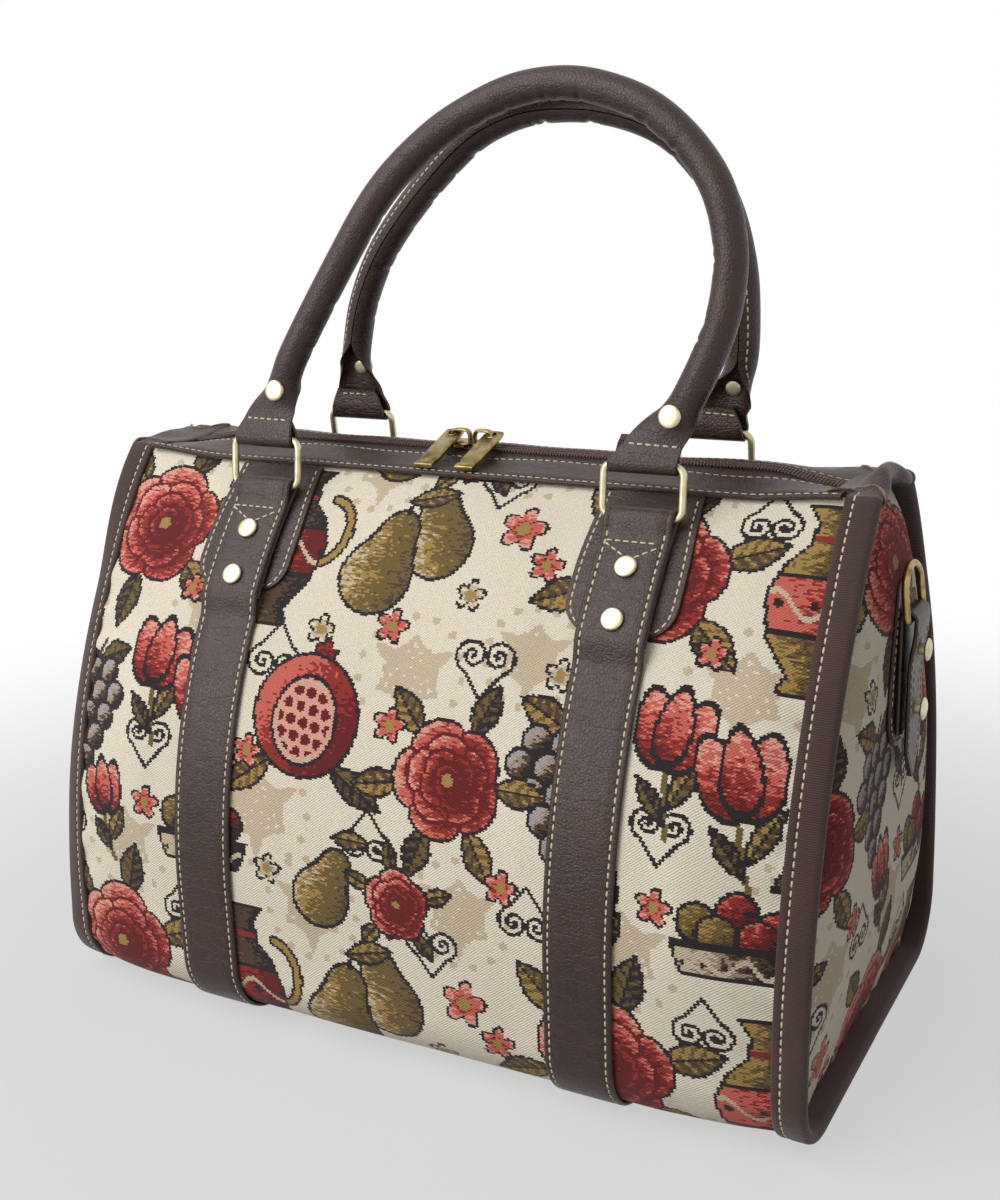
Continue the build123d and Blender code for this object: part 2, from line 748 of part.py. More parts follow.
def end_rivets(end):
    """The two rivets through an end loop."""
    group = []
    for height in end_rivet_heights:
        group.append(at_end(end_rivet_place(height) * rivet(end_rivet_depth, end_rivet_stand), end))
    return Compound(group)


def d_outline(half, low, high):
    """Outline of a D: straight side low, arched side up to a height."""
    knee = low + (high - low) / 2
    over = steps(0.0, radians(180), d_ring_chord_count)
    arch = [(half * cos(a), knee + (high - knee) * sin(a)) for a in over]
    return make_face(Polyline(*arch, (-half, low), (half, low), close=True))


def d_ring(end):
    """D-ring with its straight bar in the end loop, leaning on the end of the bag."""
    inner_half = end_strap_width / 2 + d_ring_side_gap
    low = d_ring_wire / 2
    outer = d_outline(inner_half + d_ring_wire, -low, d_ring_height)
    inner = d_outline(inner_half, low, d_ring_height - d_ring_wire)
    flat = Pos(0, 0, -low) * extrude(outer - inner, d_ring_wire)
    flat = chamfer(flat.faces().filter_by(Axis.Z).edges(), d_ring_edge)
    lean = asin((end_strap_thickness + loop_gap - fit) / (d_ring_height - low))
    upright = facing_end(0) * flat
    return at_end(Pos(d_ring_axis, 0, end_strap_top) * Rot(0, -degrees(lean), 0) * upright, end)


nodes = {"bottom_panel": bottom_panel(), "base_board": base_board(), "zip_coil": zip_coil()}
for name, side in sides.items():
    nodes[f"{name}_panel"] = side_panel(side)
    nodes[f"{name}_zip_band"] = zip_band(side)
    nodes[f"{name}_zip_tape"] = zip_tape(side)
    nodes[f"{name}_strap_rivets"] = strap_rivets(side)
    nodes[f"{name}_handle"] = handle(name)
    nodes[f"{name}_handle_rivets"] = handle_rivets(name)
    for end_name, x in zip(ends, strap_places):
        nodes[f"{name}_{end_name}_patch"] = patch(x, side)
        nodes[f"{name}_{end_name}_ring"] = ring(x, side)
for name, end in ends.items():
    nodes[f"{name}_strap"] = strap(end * strap_spacing / 2)
    nodes[f"{name}_end_panel"] = end_panel(end)
    nodes[f"{name}_binding"] = binding(end)
    nodes[f"{name}_zip_end"] = end_cap(end)
    nodes[f"{name}_slider"] = slider(end)
    nodes[f"{name}_pull"] = pull(end)
    nodes[f"{name}_end_patch"] = end_patch(end)
    nodes[f"{name}_end_strap"] = end_strap(end)
    nodes[f"{name}_end_rivets"] = end_rivets(end)
    nodes[f"{name}_d_ring"] = d_ring(end)

os.makedirs("parts", exist_ok=True)
for name, shape in nodes.items():
    export_step(shape, f"parts/{name}.step")
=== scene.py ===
"""Dressing of the tapestry holdall: cloth, leather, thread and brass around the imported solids.

Sizes are millimetres in the frame of the solids, +Z up and the front towards -Y.
Meshes are written in metres.
"""
from __future__ import annotations

import logging
import math
from dataclasses import dataclass, field
from enum import Enum
from typing import Any, Callable, Iterable, NamedTuple, Optional, Sequence

import bmesh
import bpy
import numpy as np
from mathutils import Matrix, Vector

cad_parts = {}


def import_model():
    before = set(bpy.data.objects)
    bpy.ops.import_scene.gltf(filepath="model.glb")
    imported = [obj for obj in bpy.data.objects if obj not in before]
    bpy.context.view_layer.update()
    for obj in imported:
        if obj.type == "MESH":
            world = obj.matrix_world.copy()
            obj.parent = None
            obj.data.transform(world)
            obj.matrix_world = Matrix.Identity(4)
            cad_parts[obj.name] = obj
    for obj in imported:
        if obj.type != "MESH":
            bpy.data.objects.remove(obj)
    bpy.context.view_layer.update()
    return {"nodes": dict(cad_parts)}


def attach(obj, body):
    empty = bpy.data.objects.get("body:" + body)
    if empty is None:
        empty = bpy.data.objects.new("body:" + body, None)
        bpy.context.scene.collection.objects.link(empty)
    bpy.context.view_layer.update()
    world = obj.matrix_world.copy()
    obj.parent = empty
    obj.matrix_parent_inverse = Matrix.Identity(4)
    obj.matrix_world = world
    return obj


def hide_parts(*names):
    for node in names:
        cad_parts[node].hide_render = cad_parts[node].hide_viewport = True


LOG = logging.getLogger("holdall")
MM = 0.001
Array = np.ndarray
Colour = tuple[float, float, float, float]
WHITE: Colour = (1.0, 1.0, 1.0, 1.0)
X_AXIS, Y_AXIS, Z_AXIS = np.eye(3)
ENDS = (("left", -1.0), ("right", 1.0))
SIDES = (("front", -1.0), ("back", 1.0))


def tint(red: int, green: int, blue: int) -> Colour:
    """Linear colour of an 8-bit screen colour."""
    values = []
    for part in (red, green, blue):
        share = part / 255
        values.append(share / 12.92 if share <= 0.04045 else ((share + 0.055) / 1.055) ** 2.4)
    return (values[0], values[1], values[2], 1.0)


def ease(value: Array, low: float, high: float) -> Array:
    """Smooth step from 0 at low to 1 at high.

    Args:
        value: numbers to be eased.
        low: where the step begins.
        high: where it ends.

    Returns:
        The eased numbers.
    """
    share = np.clip((np.asarray(value, float) - low) / (high - low), 0.0, 1.0)
    return share * share * (3 - 2 * share)


def joined(*columns: Any) -> Array:
    """Points from their coordinates, each an array or one number for all."""
    return np.stack(np.broadcast_arrays(*columns), axis=-1)


def unit(vectors: Array) -> Array:
    """Vectors brought to length one."""
    return vectors / np.maximum(np.linalg.norm(vectors, axis=-1, keepdims=True), 1e-9)


def smooth_line(points: Sequence[Sequence[float]], count: int) -> Array:
    """Line through given points, evenly spaced along its length.

    Args:
        points: places that the line passes through.
        count: how many points the result has.

    Returns:
        The points of the line.
    """
    given = np.asarray(points, float)
    padded = np.vstack([2 * given[0] - given[1], given, 2 * given[-1] - given[-2]])
    steps = np.linspace(0.0, 1.0, 24, endpoint=False)[:, None]
    runs = []
    for a, b, c, d in zip(padded, padded[1:], padded[2:], padded[3:]):
        bend = (2 * a - 5 * b + 4 * c - d) * steps**2 + (3 * b - a - 3 * c + d) * steps**3
        runs.append(0.5 * (2 * b + (c - a) * steps + bend))
    return resampled(np.vstack(runs + [given[-1:]]), count)[0]


def circle(count: int) -> Array:
    """Points round a unit circle."""
    angles = np.linspace(0.0, 2 * math.pi, count, endpoint=False)
    return joined(np.cos(angles), np.sin(angles))


def heading(degrees: float) -> tuple[float, float]:
    """Cosine and sine of an angle."""
    return math.cos(math.radians(degrees)), math.sin(math.radians(degrees))


def lengths_along(path: Array) -> Array:
    """Distance of each point of a path from its start."""
    return np.concatenate([[0.0], np.cumsum(np.linalg.norm(np.diff(path, axis=0), axis=1))])


def at_lengths(places: Array, along: Array, values: Array) -> Array:
    """Values carried along a path, at given distances from its start."""
    return np.stack([np.interp(places, along, column) for column in values.T], axis=1)


def resampled(path: Array, count: int, *carried: Array) -> list[Array]:
    """A path, and values carried along it, at evenly spaced points.

    Args:
        path: points of the path.
        count: how many points the result has.
        carried: more values, one for each point of the path.

    Returns:
        The path and the carried values at the new points.
    """
    along = lengths_along(path)
    places = np.linspace(0.0, along[-1], count)
    return [at_lengths(places, along, values) for values in (path, *carried)]


class Draft:
    """A mesh in the making: points, faces and coordinates on the cloth."""

    def __init__(self) -> None:
        """Start with nothing."""
        self._points: list[Array] = []
        self._cloth: list[Array] = []
        self._faces: list[list[int]] = []
        self._count = 0

    def add(self, points: Array, cloth: Optional[Array] = None) -> int:
        """Add points.

        Args:
            points: places in millimetres, any shape ending in three.
            cloth: coordinates on the cloth, of the same shape ending in two.

        Returns:
            Number of the first point.
        """
        flat = np.asarray(points, float).reshape(-1, 3)
        start = self._count
        self._points.append(flat)
        cloth = np.zeros((len(flat), 2)) if cloth is None else np.asarray(cloth, float)
        self._cloth.append(cloth.reshape(-1, 2))
        self._count += len(flat)
        return start

    def face(self, corners: Iterable[int]) -> None:
        """Add one face."""
        self._faces.append(list(corners))

    def close(self, start: int, size: int, rings: int) -> None:
        """Close both ends of a round grid.

        Args:
            start: number of its first point.
            size: points in a ring.
            rings: how many rings it has.
        """
        for first in (start, start + size * (rings - 1)):
            self.face(range(first, first + size))

    def grid(
        self,
        points: Array,
        cloth: Optional[Array] = None,
        round_columns: bool = False,
        round_rows: bool = False,
        keep: Optional[Array] = None,
    ) -> int:
        """Add a grid of four-cornered faces.

        Args:
            points: places, rows by columns by three.
            cloth: coordinates on the cloth, rows by columns by two.
            round_columns: whether the last column joins the first.
            round_rows: whether the last row joins the first.
            keep: which faces to keep, rows by columns.

        Returns:
            Number of the first point.
        """
        rows, columns = points.shape[:2]
        start = self.add(points, cloth)
        numbers = start + np.arange(rows * columns).reshape(rows, columns)
        if round_columns:
            numbers = np.hstack([numbers, numbers[:, :1]])
        if round_rows:
            numbers = np.vstack([numbers, numbers[:1]])
        corners = joined(numbers[:-1, :-1], numbers[:-1, 1:], numbers[1:, 1:], numbers[1:, :-1])
        if keep is not None:
            corners = corners[keep]
        self._faces += corners.reshape(-1, 4).tolist()
        return start

    def sweep(
        self,
        places: Array,
        across: Array,
        normal: Array,
        section: Array,
        closed: bool = False,
        cloth: Optional[Array] = None,
    ) -> None:
        """Add a solid swept along a path.

        Args:
            places: points of the path.
            across: direction of the section's first axis at each point.
            normal: direction of its second axis.
            section: closed section, points by two, or one for each place.
            closed: whether the path closes on itself.
            cloth: coordinates on the cloth.
        """
        sections = np.broadcast_to(section, (len(places),) + section.shape[-2:])
        points = places[:, None] + sections[..., :1] * across[:, None] + sections[..., 1:] * normal[:, None]
        start = self.grid(points, cloth, round_columns=True, round_rows=closed)
        if not closed:
            self.close(start, section.shape[-2], len(places))

    def tube(self, path: Array, radius: float, sides: int, closed: bool = False) -> None:
        """Add a round bar along a path that lies in one plane.

        Args:
            path: points of the middle line.
            radius: of the bar.
            sides: flat sides round the bar.
            closed: whether the path closes on itself.
        """
        ahead = np.roll(path, -1, axis=0) - np.roll(path, 1, axis=0)
        if not closed:
            ahead[0], ahead[-1] = path[1] - path[0], path[-1] - path[-2]
        _, _, axes = np.linalg.svd(path - path.mean(axis=0))
        across = np.broadcast_to(axes[2], path.shape)
        self.sweep(path, across, np.cross(unit(ahead), across), radius * circle(sides), closed)

    def lathe(self, seat: Array, axis: Array, profile: Sequence[Sequence[float]], sides: int = 28) -> None:
        """Add a turned shape.

        Args:
            seat: place of the profile's zero height.
            axis: direction of the turning axis.
            profile: radius and height, from the foot to the crown.
            sides: flat sides round the axis.
        """
        axis = unit(np.asarray(axis, float))
        first = unit(np.cross(axis, Z_AXIS if abs(axis[2]) < 0.9 else X_AXIS))
        ring = circle(sides) @ np.stack([first, np.cross(axis, first)])
        points = np.stack([np.asarray(seat) + radius * ring + height * axis for radius, height in profile])
        self.close(self.grid(points, round_columns=True), sides, len(profile))

    def plate(
        self,
        outline: Array,
        origin: Array,
        first: Array,
        second: Array,
        thickness: float,
        bevel: float,
        hole: Optional[Array] = None,
    ) -> None:
        """Add a flat plate with rounded rims.

        Args:
            outline: points round the plate, counter-clockwise, in its own two axes.
            origin: place of the outline's zero, on the plate's lower face.
            first: direction of the outline's first axis.
            second: direction of its second axis.
            thickness: of the plate.
            bevel: how far the rims are rounded.
            hole: points round a hole, as many as the outline has.
        """
        up = np.cross(first, second)
        rim = ((0.0, bevel), (bevel * 0.3, bevel * 0.3), (bevel, 0.0))
        heights = rim + tuple((thickness - height, inset) for height, inset in rim[::-1])

        def rings(points: Array, sign: float) -> Array:
            """Rings of the rim round an outline, outwards by sign."""
            ahead = unit(np.roll(points, -1, axis=0) - np.roll(points, 1, axis=0))
            outward = sign * joined(ahead[:, 1], -ahead[:, 0])
            layers = []
            for height, inset in heights:
                flat = points - inset * outward
                layers.append(origin + flat[:, :1] * first + flat[:, 1:] * second + height * up)
            return np.stack(layers)

        size, count = len(outline), len(heights)
        start = self.grid(rings(outline, 1.0), round_columns=True)
        if hole is None:
            self.close(start, size, count)
            return
        inner = self.grid(rings(hole, -1.0), round_columns=True)
        for layer in (0, size * (count - 1)):
            outside, inside = start + layer, inner + layer
            for i, j in zip(range(size), np.roll(range(size), -1).tolist()):
                self.face((outside + i, outside + j, inside + j, inside + i))

    def build(self, name: str, finish: bpy.types.Material, smooth_degrees: float = 40.0) -> bpy.types.Object:
        """Make the object.

        Args:
            name: of the piece.
            finish: its material.
            smooth_degrees: edges that turn by less are shaded smooth.

        Returns:
            The object, in the scene.
        """
        mesh = bpy.data.meshes.new(name)
        mesh.from_pydata((np.vstack(self._points) * MM).tolist(), [], self._faces)
        mesh.materials.append(finish)
        corners = np.empty(len(mesh.loops), dtype=np.int32)
        mesh.loops.foreach_get("vertex_index", corners)
        layer = mesh.uv_layers.new(name="cloth")
        layer.data.foreach_set("uv", np.vstack(self._cloth)[corners].astype(np.float32).ravel())
        sorted_mesh = bmesh.new()
        sorted_mesh.from_mesh(mesh)
        bmesh.ops.recalc_face_normals(sorted_mesh, faces=sorted_mesh.faces)
        sorted_mesh.to_mesh(mesh)
        sorted_mesh.free()
        mesh.polygons.foreach_set("use_smooth", [True] * len(mesh.polygons))
        mesh.set_sharp_from_angle(angle=math.radians(smooth_degrees))
        piece = bpy.data.objects.new(name, mesh)
        bpy.context.scene.collection.objects.link(piece)
        return piece


def fit_piece(piece: bpy.types.Object, body: str, slot: str, *nodes: str) -> bpy.types.Object:
    """Put a piece on its body and hide the solids that it replaces.

    Args:
        piece: the piece.
        body: that it rides on.
        slot: finish of the record that it takes; not used.
        nodes: solids that it replaces.

    Returns:
        The piece.
    """
    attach(piece, body)
    if nodes:
        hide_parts(*nodes)
    LOG.info("%s on %s, %d faces", piece.name, body, len(piece.data.polygons))
    return piece


def arithmetic(operation: str, reflected: bool = False) -> Callable[..., "Signal"]:
    """Operator of a signal that adds one Math node.

    Args:
        operation: of the node.
        reflected: whether the signal is the second operand.

    Returns:
        The method.
    """

    def method(signal: "Signal", *other: Any) -> "Signal":
        """Add the node."""
        values = (*other, signal) if reflected else (signal, *other)
        node = signal.shader.node("ShaderNodeMath", {"operation": operation}, dict(enumerate(values)))
        return Signal(signal.shader, node.outputs[0])

    return method


class Signal:
    """A value in a shader, with arithmetic that adds Math nodes."""

    def __init__(self, shader: "Shader", socket: bpy.types.NodeSocket) -> None:
        """Wrap a socket of a shader."""
        self.shader = shader
        self.socket = socket

    __add__, __radd__ = arithmetic("ADD"), arithmetic("ADD", True)
    __sub__, __rsub__ = arithmetic("SUBTRACT"), arithmetic("SUBTRACT", True)
    __mul__, __rmul__ = arithmetic("MULTIPLY"), arithmetic("MULTIPLY", True)
    __truediv__, __rtruediv__ = arithmetic("DIVIDE"), arithmetic("DIVIDE", True)
    __abs__ = arithmetic("ABSOLUTE")
    sine = arithmetic("SINE")

    def between(self, low: float, high: float) -> "Signal":
        """Smooth step from 0 at low to 1 at high."""
        settings = {"interpolation_type": "SMOOTHSTEP"}
        inputs = {"Value": self, "From Min": low, "From Max": high}
        node = self.shader.node("ShaderNodeMapRange", settings, inputs)
        return Signal(self.shader, node.outputs["Result"])


class Shader:
    """Nodes of a material or of the surroundings, in the making."""

    def __init__(self, name: str, owners: Any = bpy.data.materials) -> None:
        """Start empty."""
        self.owner = owners.new(name)
        self.owner.use_nodes = True
        self.tree = self.owner.node_tree
        self.tree.nodes.clear()

    def node(
        self, kind: str, settings: Optional[dict[str, Any]] = None, inputs: Optional[dict[Any, Any]] = None
    ) -> bpy.types.Node:
        """Add a node.

        Args:
            kind: its type.
            settings: its own settings, set first.
            inputs: values or links of its sockets, by name or number.

        Returns:
            The node.
        """
        made = self.tree.nodes.new(kind)
        for key, value in (settings or {}).items():
            setattr(made, key, value)
        for key, value in (inputs or {}).items():
            source = value.socket if isinstance(value, Signal) else value
            if isinstance(source, bpy.types.NodeSocket):
                self.tree.links.new(source, made.inputs[key])
            else:
                made.inputs[key].default_value = source
        return made

    def place(self) -> bpy.types.NodeSocket:
        """Position on the object, in millimetres."""
        where = self.node("ShaderNodeTexCoord").outputs["Object"]
        inputs = {0: where, "Scale": 1 / MM}
        return self.node("ShaderNodeVectorMath", {"operation": "SCALE"}, inputs).outputs[0]

    def cloth(self) -> tuple[Signal, Signal]:
        """Coordinates on the cloth, in millimetres."""
        layer = self.node("ShaderNodeUVMap", {"uv_map": "cloth"}).outputs[0]
        parts = self.node("ShaderNodeSeparateXYZ", {}, {0: layer})
        return Signal(self, parts.outputs[0]), Signal(self, parts.outputs[1])

    def vector(self, first: Any, second: Any, third: Any = 0.0) -> bpy.types.NodeSocket:
        """Vector of three values."""
        return self.node("ShaderNodeCombineXYZ", {}, {0: first, 1: second, 2: third}).outputs[0]

    def noise(self, where: bpy.types.NodeSocket, per_mm: float, detail: float = 3.0) -> Signal:
        """Even cloudiness about one half."""
        inputs = {"Vector": where, "Scale": per_mm, "Detail": detail}
        return Signal(self, self.node("ShaderNodeTexNoise", {}, inputs).outputs["Fac"])

    def cells(self, where: bpy.types.NodeSocket, per_mm: float) -> Signal:
        """Distance to the edges of a cracked pattern."""
        settings = {"feature": "DISTANCE_TO_EDGE"}
        node = self.node("ShaderNodeTexVoronoi", settings, {"Vector": where, "Scale": per_mm})
        return Signal(self, node.outputs["Distance"])

    def mix(self, share: Any, first: Any, second: Any, blend: str = "MIX") -> bpy.types.NodeSocket:
        """Colour mixed of two."""
        settings = {"data_type": "RGBA", "blend_type": blend}
        return self.node("ShaderNodeMix", settings, {0: share, 6: first, 7: second}).outputs[2]

    def bump(self, height: Signal, depth_mm: float) -> bpy.types.NodeSocket:
        """Normal of a relief whose height runs from 0 to 1."""
        inputs = {"Height": height, "Distance": depth_mm * MM, "Strength": 1.0}
        return self.node("ShaderNodeBump", {}, inputs).outputs[0]

    def stretched(self, where: bpy.types.NodeSocket, scale: Sequence[float]) -> bpy.types.NodeSocket:
        """Position stretched along its axes."""
        return self.node("ShaderNodeMapping", {}, {"Vector": where, "Scale": scale}).outputs[0]

    def seen(self) -> Signal:
        """One where the camera looks, straight, by a reflection or through something, and else nought."""
        path = self.node("ShaderNodeLightPath")
        kinds = ("Is Camera Ray", "Is Glossy Ray", "Is Transmission Ray")
        camera, glossy, through = (Signal(self, path.outputs[kind]) for kind in kinds)
        return (camera + glossy + through).between(0.0, 1.0)

    def finish(self, **sockets: Any) -> bpy.types.Material:
        """Close the material with a Principled shader.

        Args:
            sockets: values or links, with spaces in the names as underscores.

        Returns:
            The material.
        """
        inputs = {name.replace("_", " "): value for name, value in sockets.items()}
        surface = self.node("ShaderNodeBsdfPrincipled", {}, inputs)
        self.node("ShaderNodeOutputMaterial", {}, {"Surface": surface.outputs[0]})
        return self.owner


@dataclass(frozen=True)
class Leather:
    """Dark leather with a pebbled grain, soft creases and a worn bloom."""

    name: str = "brown_leather"
    deep: Colour = tint(36, 20, 15)
    paler: Colour = tint(60, 38, 30)
    grain_per_mm: float = 0.62
    rough: float = 0.4

    def material(self) -> bpy.types.Material:
        """Make the finish."""
        shader = Shader(self.name)
        where = shader.place()
        cloud = shader.noise(where, 0.03, 4.0)
        mottle = shader.noise(where, 0.3, 4.0)
        pores = shader.cells(where, self.grain_per_mm).between(0.0, 0.22)
        folds = shader.noise(shader.stretched(where, (0.3, 1.0, 1.0)), 0.12, 4.0)
        crease = abs(folds - 0.5).between(0.0, 0.025)
        share = (cloud * 0.6 + mottle * 0.5).between(0.3, 0.8)
        base = shader.mix(share * 0.8 + pores * 0.2, self.deep, self.paler)
        relief = pores * 0.45 + crease * 0.5 + mottle * 0.6
        normal = shader.bump(relief, 0.2)
        rough = self.rough + (mottle - 0.5) * 0.3
        return shader.finish(Base_Color=base, Roughness=rough, Normal=normal, Specular_IOR_Level=0.42)


@dataclass(frozen=True)
class Tapestry:
    """Woven cloth: the yarn of each cell, a twill of fine ribs and the fuzz of the yarn."""

    name: str = "woven_tapestry"
    rib_mm: float = 1.3
    thread_mm: float = 0.85

    def material(self) -> bpy.types.Material:
        """Make the finish."""
        shader = Shader(self.name)
        u, v = shader.cloth()
        yarn = shader.node("ShaderNodeAttribute", {"attribute_name": "yarn"})
        raised = Signal(shader, yarn.outputs["Alpha"])
        turn = 2 * math.pi
        rib = ((u * 0.8 + v) * (turn / self.rib_mm)).sine() * 0.5 + 0.5
        weft = (v * (turn / self.thread_mm)).sine() * 0.5 + 0.5
        where = shader.vector(u, v)
        fuzz = shader.noise(where, 1.5, 3.0)
        cloud = shader.noise(where, 0.015, 3.0)
        slub = shader.noise(shader.vector(u * 0.5, v * 2.4), 0.8, 2.0)
        weave = rib * (1.0 - raised * 0.5) * 0.1 + weft * 0.08
        shade = 0.86 + weave + (slub - 0.5) * 0.34 + (cloud - 0.5) * 0.16 + (fuzz - 0.5) * 0.26
        grey = shader.node("ShaderNodeCombineColor", {}, {0: shade, 1: shade, 2: shade}).outputs[0]
        base = shader.mix(1.0, yarn.outputs["Color"], grey, "MULTIPLY")
        relief = rib * 0.5 + weft * 0.3 + fuzz * 0.4 + raised * 0.4
        normal = shader.bump(relief, 0.3)
        return shader.finish(
            Base_Color=base, Roughness=0.85, Normal=normal, Specular_IOR_Level=0.2, Sheen_Weight=0.1
        )


@dataclass(frozen=True)
class Ribbed:
    """Woven tape with ribs across it, paler on the rib crests and darker in the grooves between them: painted
    highlight and painted shade, over the yarn's own uneven tone.
    """

    name: str
    deep: Colour
    paler: Colour
    rib_mm: float

    def material(self) -> bpy.types.Material:
        """Make the finish."""
        shader = Shader(self.name)
        u, v = shader.cloth()
        rib = (v * (2 * math.pi / self.rib_mm)).sine() * 0.5 + 0.5
        where = shader.vector(u, v)
        fuzz = shader.noise(where, 1.1, 3.0)
        cloud = shader.noise(where, 0.04, 3.0)
        # The rib wave puts the paler colour on the rib crests and the deep one in the grooves: painted
        # highlight and painted shade. Fuzz and cloud are the yarn's own uneven tone.
        share = (rib * 0.45 + fuzz * 0.4 + cloud * 0.4).between(0.25, 0.95)
        base = shader.mix(share, self.deep, self.paler)
        normal = shader.bump(rib * 0.7 + fuzz * 0.3, 0.2)
        return shader.finish(
            Base_Color=base, Roughness=0.7, Normal=normal, Specular_IOR_Level=0.3, Sheen_Weight=0.25
        )


@dataclass(frozen=True)
class Brass:
    """Plated brass with a satin face and faint handling marks."""

    name: str
    bright: Colour
    dull: Colour
    rough: float

    def material(self) -> bpy.types.Material:
        """Make the finish."""
        shader = Shader(self.name)
        where = shader.place()
        cloud = shader.noise(where, 0.2, 3.0)
        marks = shader.noise(shader.stretched(where, (0.3, 2.0, 2.0)), 1.2, 2.0)
        base = shader.mix(cloud.between(0.35, 0.75), self.bright, self.dull)
        rough = self.rough + (cloud - 0.5) * 0.2 + (marks - 0.5) * 0.12
        normal = shader.bump(marks, 0.004)
        return shader.finish(Base_Color=base, Metallic=1.0, Roughness=rough, Normal=normal)


@dataclass(frozen=True)
class Plain:
    """Matt stuff with a little unevenness: thread, cut edges, board and nylon."""

    name: str
    deep: Colour
    pale: Colour
    per_mm: float
    rough: float
    relief_mm: float = 0.1

    def material(self) -> bpy.types.Material:
        """Make the finish."""
        shader = Shader(self.name)
        where = shader.place()
        fuzz = shader.noise(where, self.per_mm, 3.0)
        base = shader.mix(fuzz.between(0.3, 0.7), self.deep, self.pale)
        normal = shader.bump(fuzz, self.relief_mm)
        rough = self.rough + (fuzz - 0.5) * 0.2
        return shader.finish(Base_Color=base, Roughness=rough, Normal=normal, Specular_IOR_Level=0.3)


class Finishes:
    """Every finish of the bag."""

    def __init__(self) -> None:
        """Make the materials."""
        self.leather = Leather().material()
        self.tapestry = Tapestry().material()
        # The second colour of each ribbed tape goes onto its rib crests as a painted highlight.
        self.grosgrain = Ribbed("ribbed_binding", tint(36, 22, 18), tint(74, 50, 42), 0.95).material()
        self.tape = Ribbed("zip_tape_weave", tint(44, 30, 26), tint(70, 50, 44), 0.8).material()
        self.coil = Plain("nylon_coil", tint(66, 42, 38), tint(96, 66, 58), 0.8, 0.4).material()
        self.thread = Plain("cream_thread", tint(186, 172, 142), tint(222, 211, 186), 2.2, 0.75).material()
        self.edge = Plain("cut_leather_edge", tint(104, 82, 72), tint(150, 128, 114), 0.6, 0.8).material()
        self.board = Plain("fibre_board", tint(120, 100, 78), tint(150, 128, 100), 0.4, 0.9).material()
        self.pale_brass = Brass("pale_brass_plate", tint(212, 203, 172), tint(186, 172, 134), 0.36).material()
        dark_brass = Brass("darkened_brass_plate", tint(170, 150, 98), tint(112, 96, 56), 0.34)
        self.dark_brass = dark_brass.material()


class Yarn(Enum):
    """Yarns of the tapestry, as screen colours."""

    GROUND = (226, 216, 195)
    INK = (42, 36, 37)
    BRICK = (146, 50, 44)
    DEEP = (104, 32, 32)
    SALMON = (204, 102, 88)
    PINK = (224, 160, 142)
    GOLD = (166, 134, 76)
    OLIVE = (112, 94, 54)
    BROWN = (84, 64, 48)
    BEIGE = (202, 184, 156)
    TAUPE = (158, 140, 122)
    LILAC = (168, 158, 158)


class Cells(NamedTuple):
    """Cells round a place of the cartoon, and where they lie in a motif's own axes."""

    rows: Array
    columns: Array
    u: Array
    v: Array

    def radius(self) -> Array:
        """Distance from the motif's middle."""
        return np.hypot(self.u, self.v)


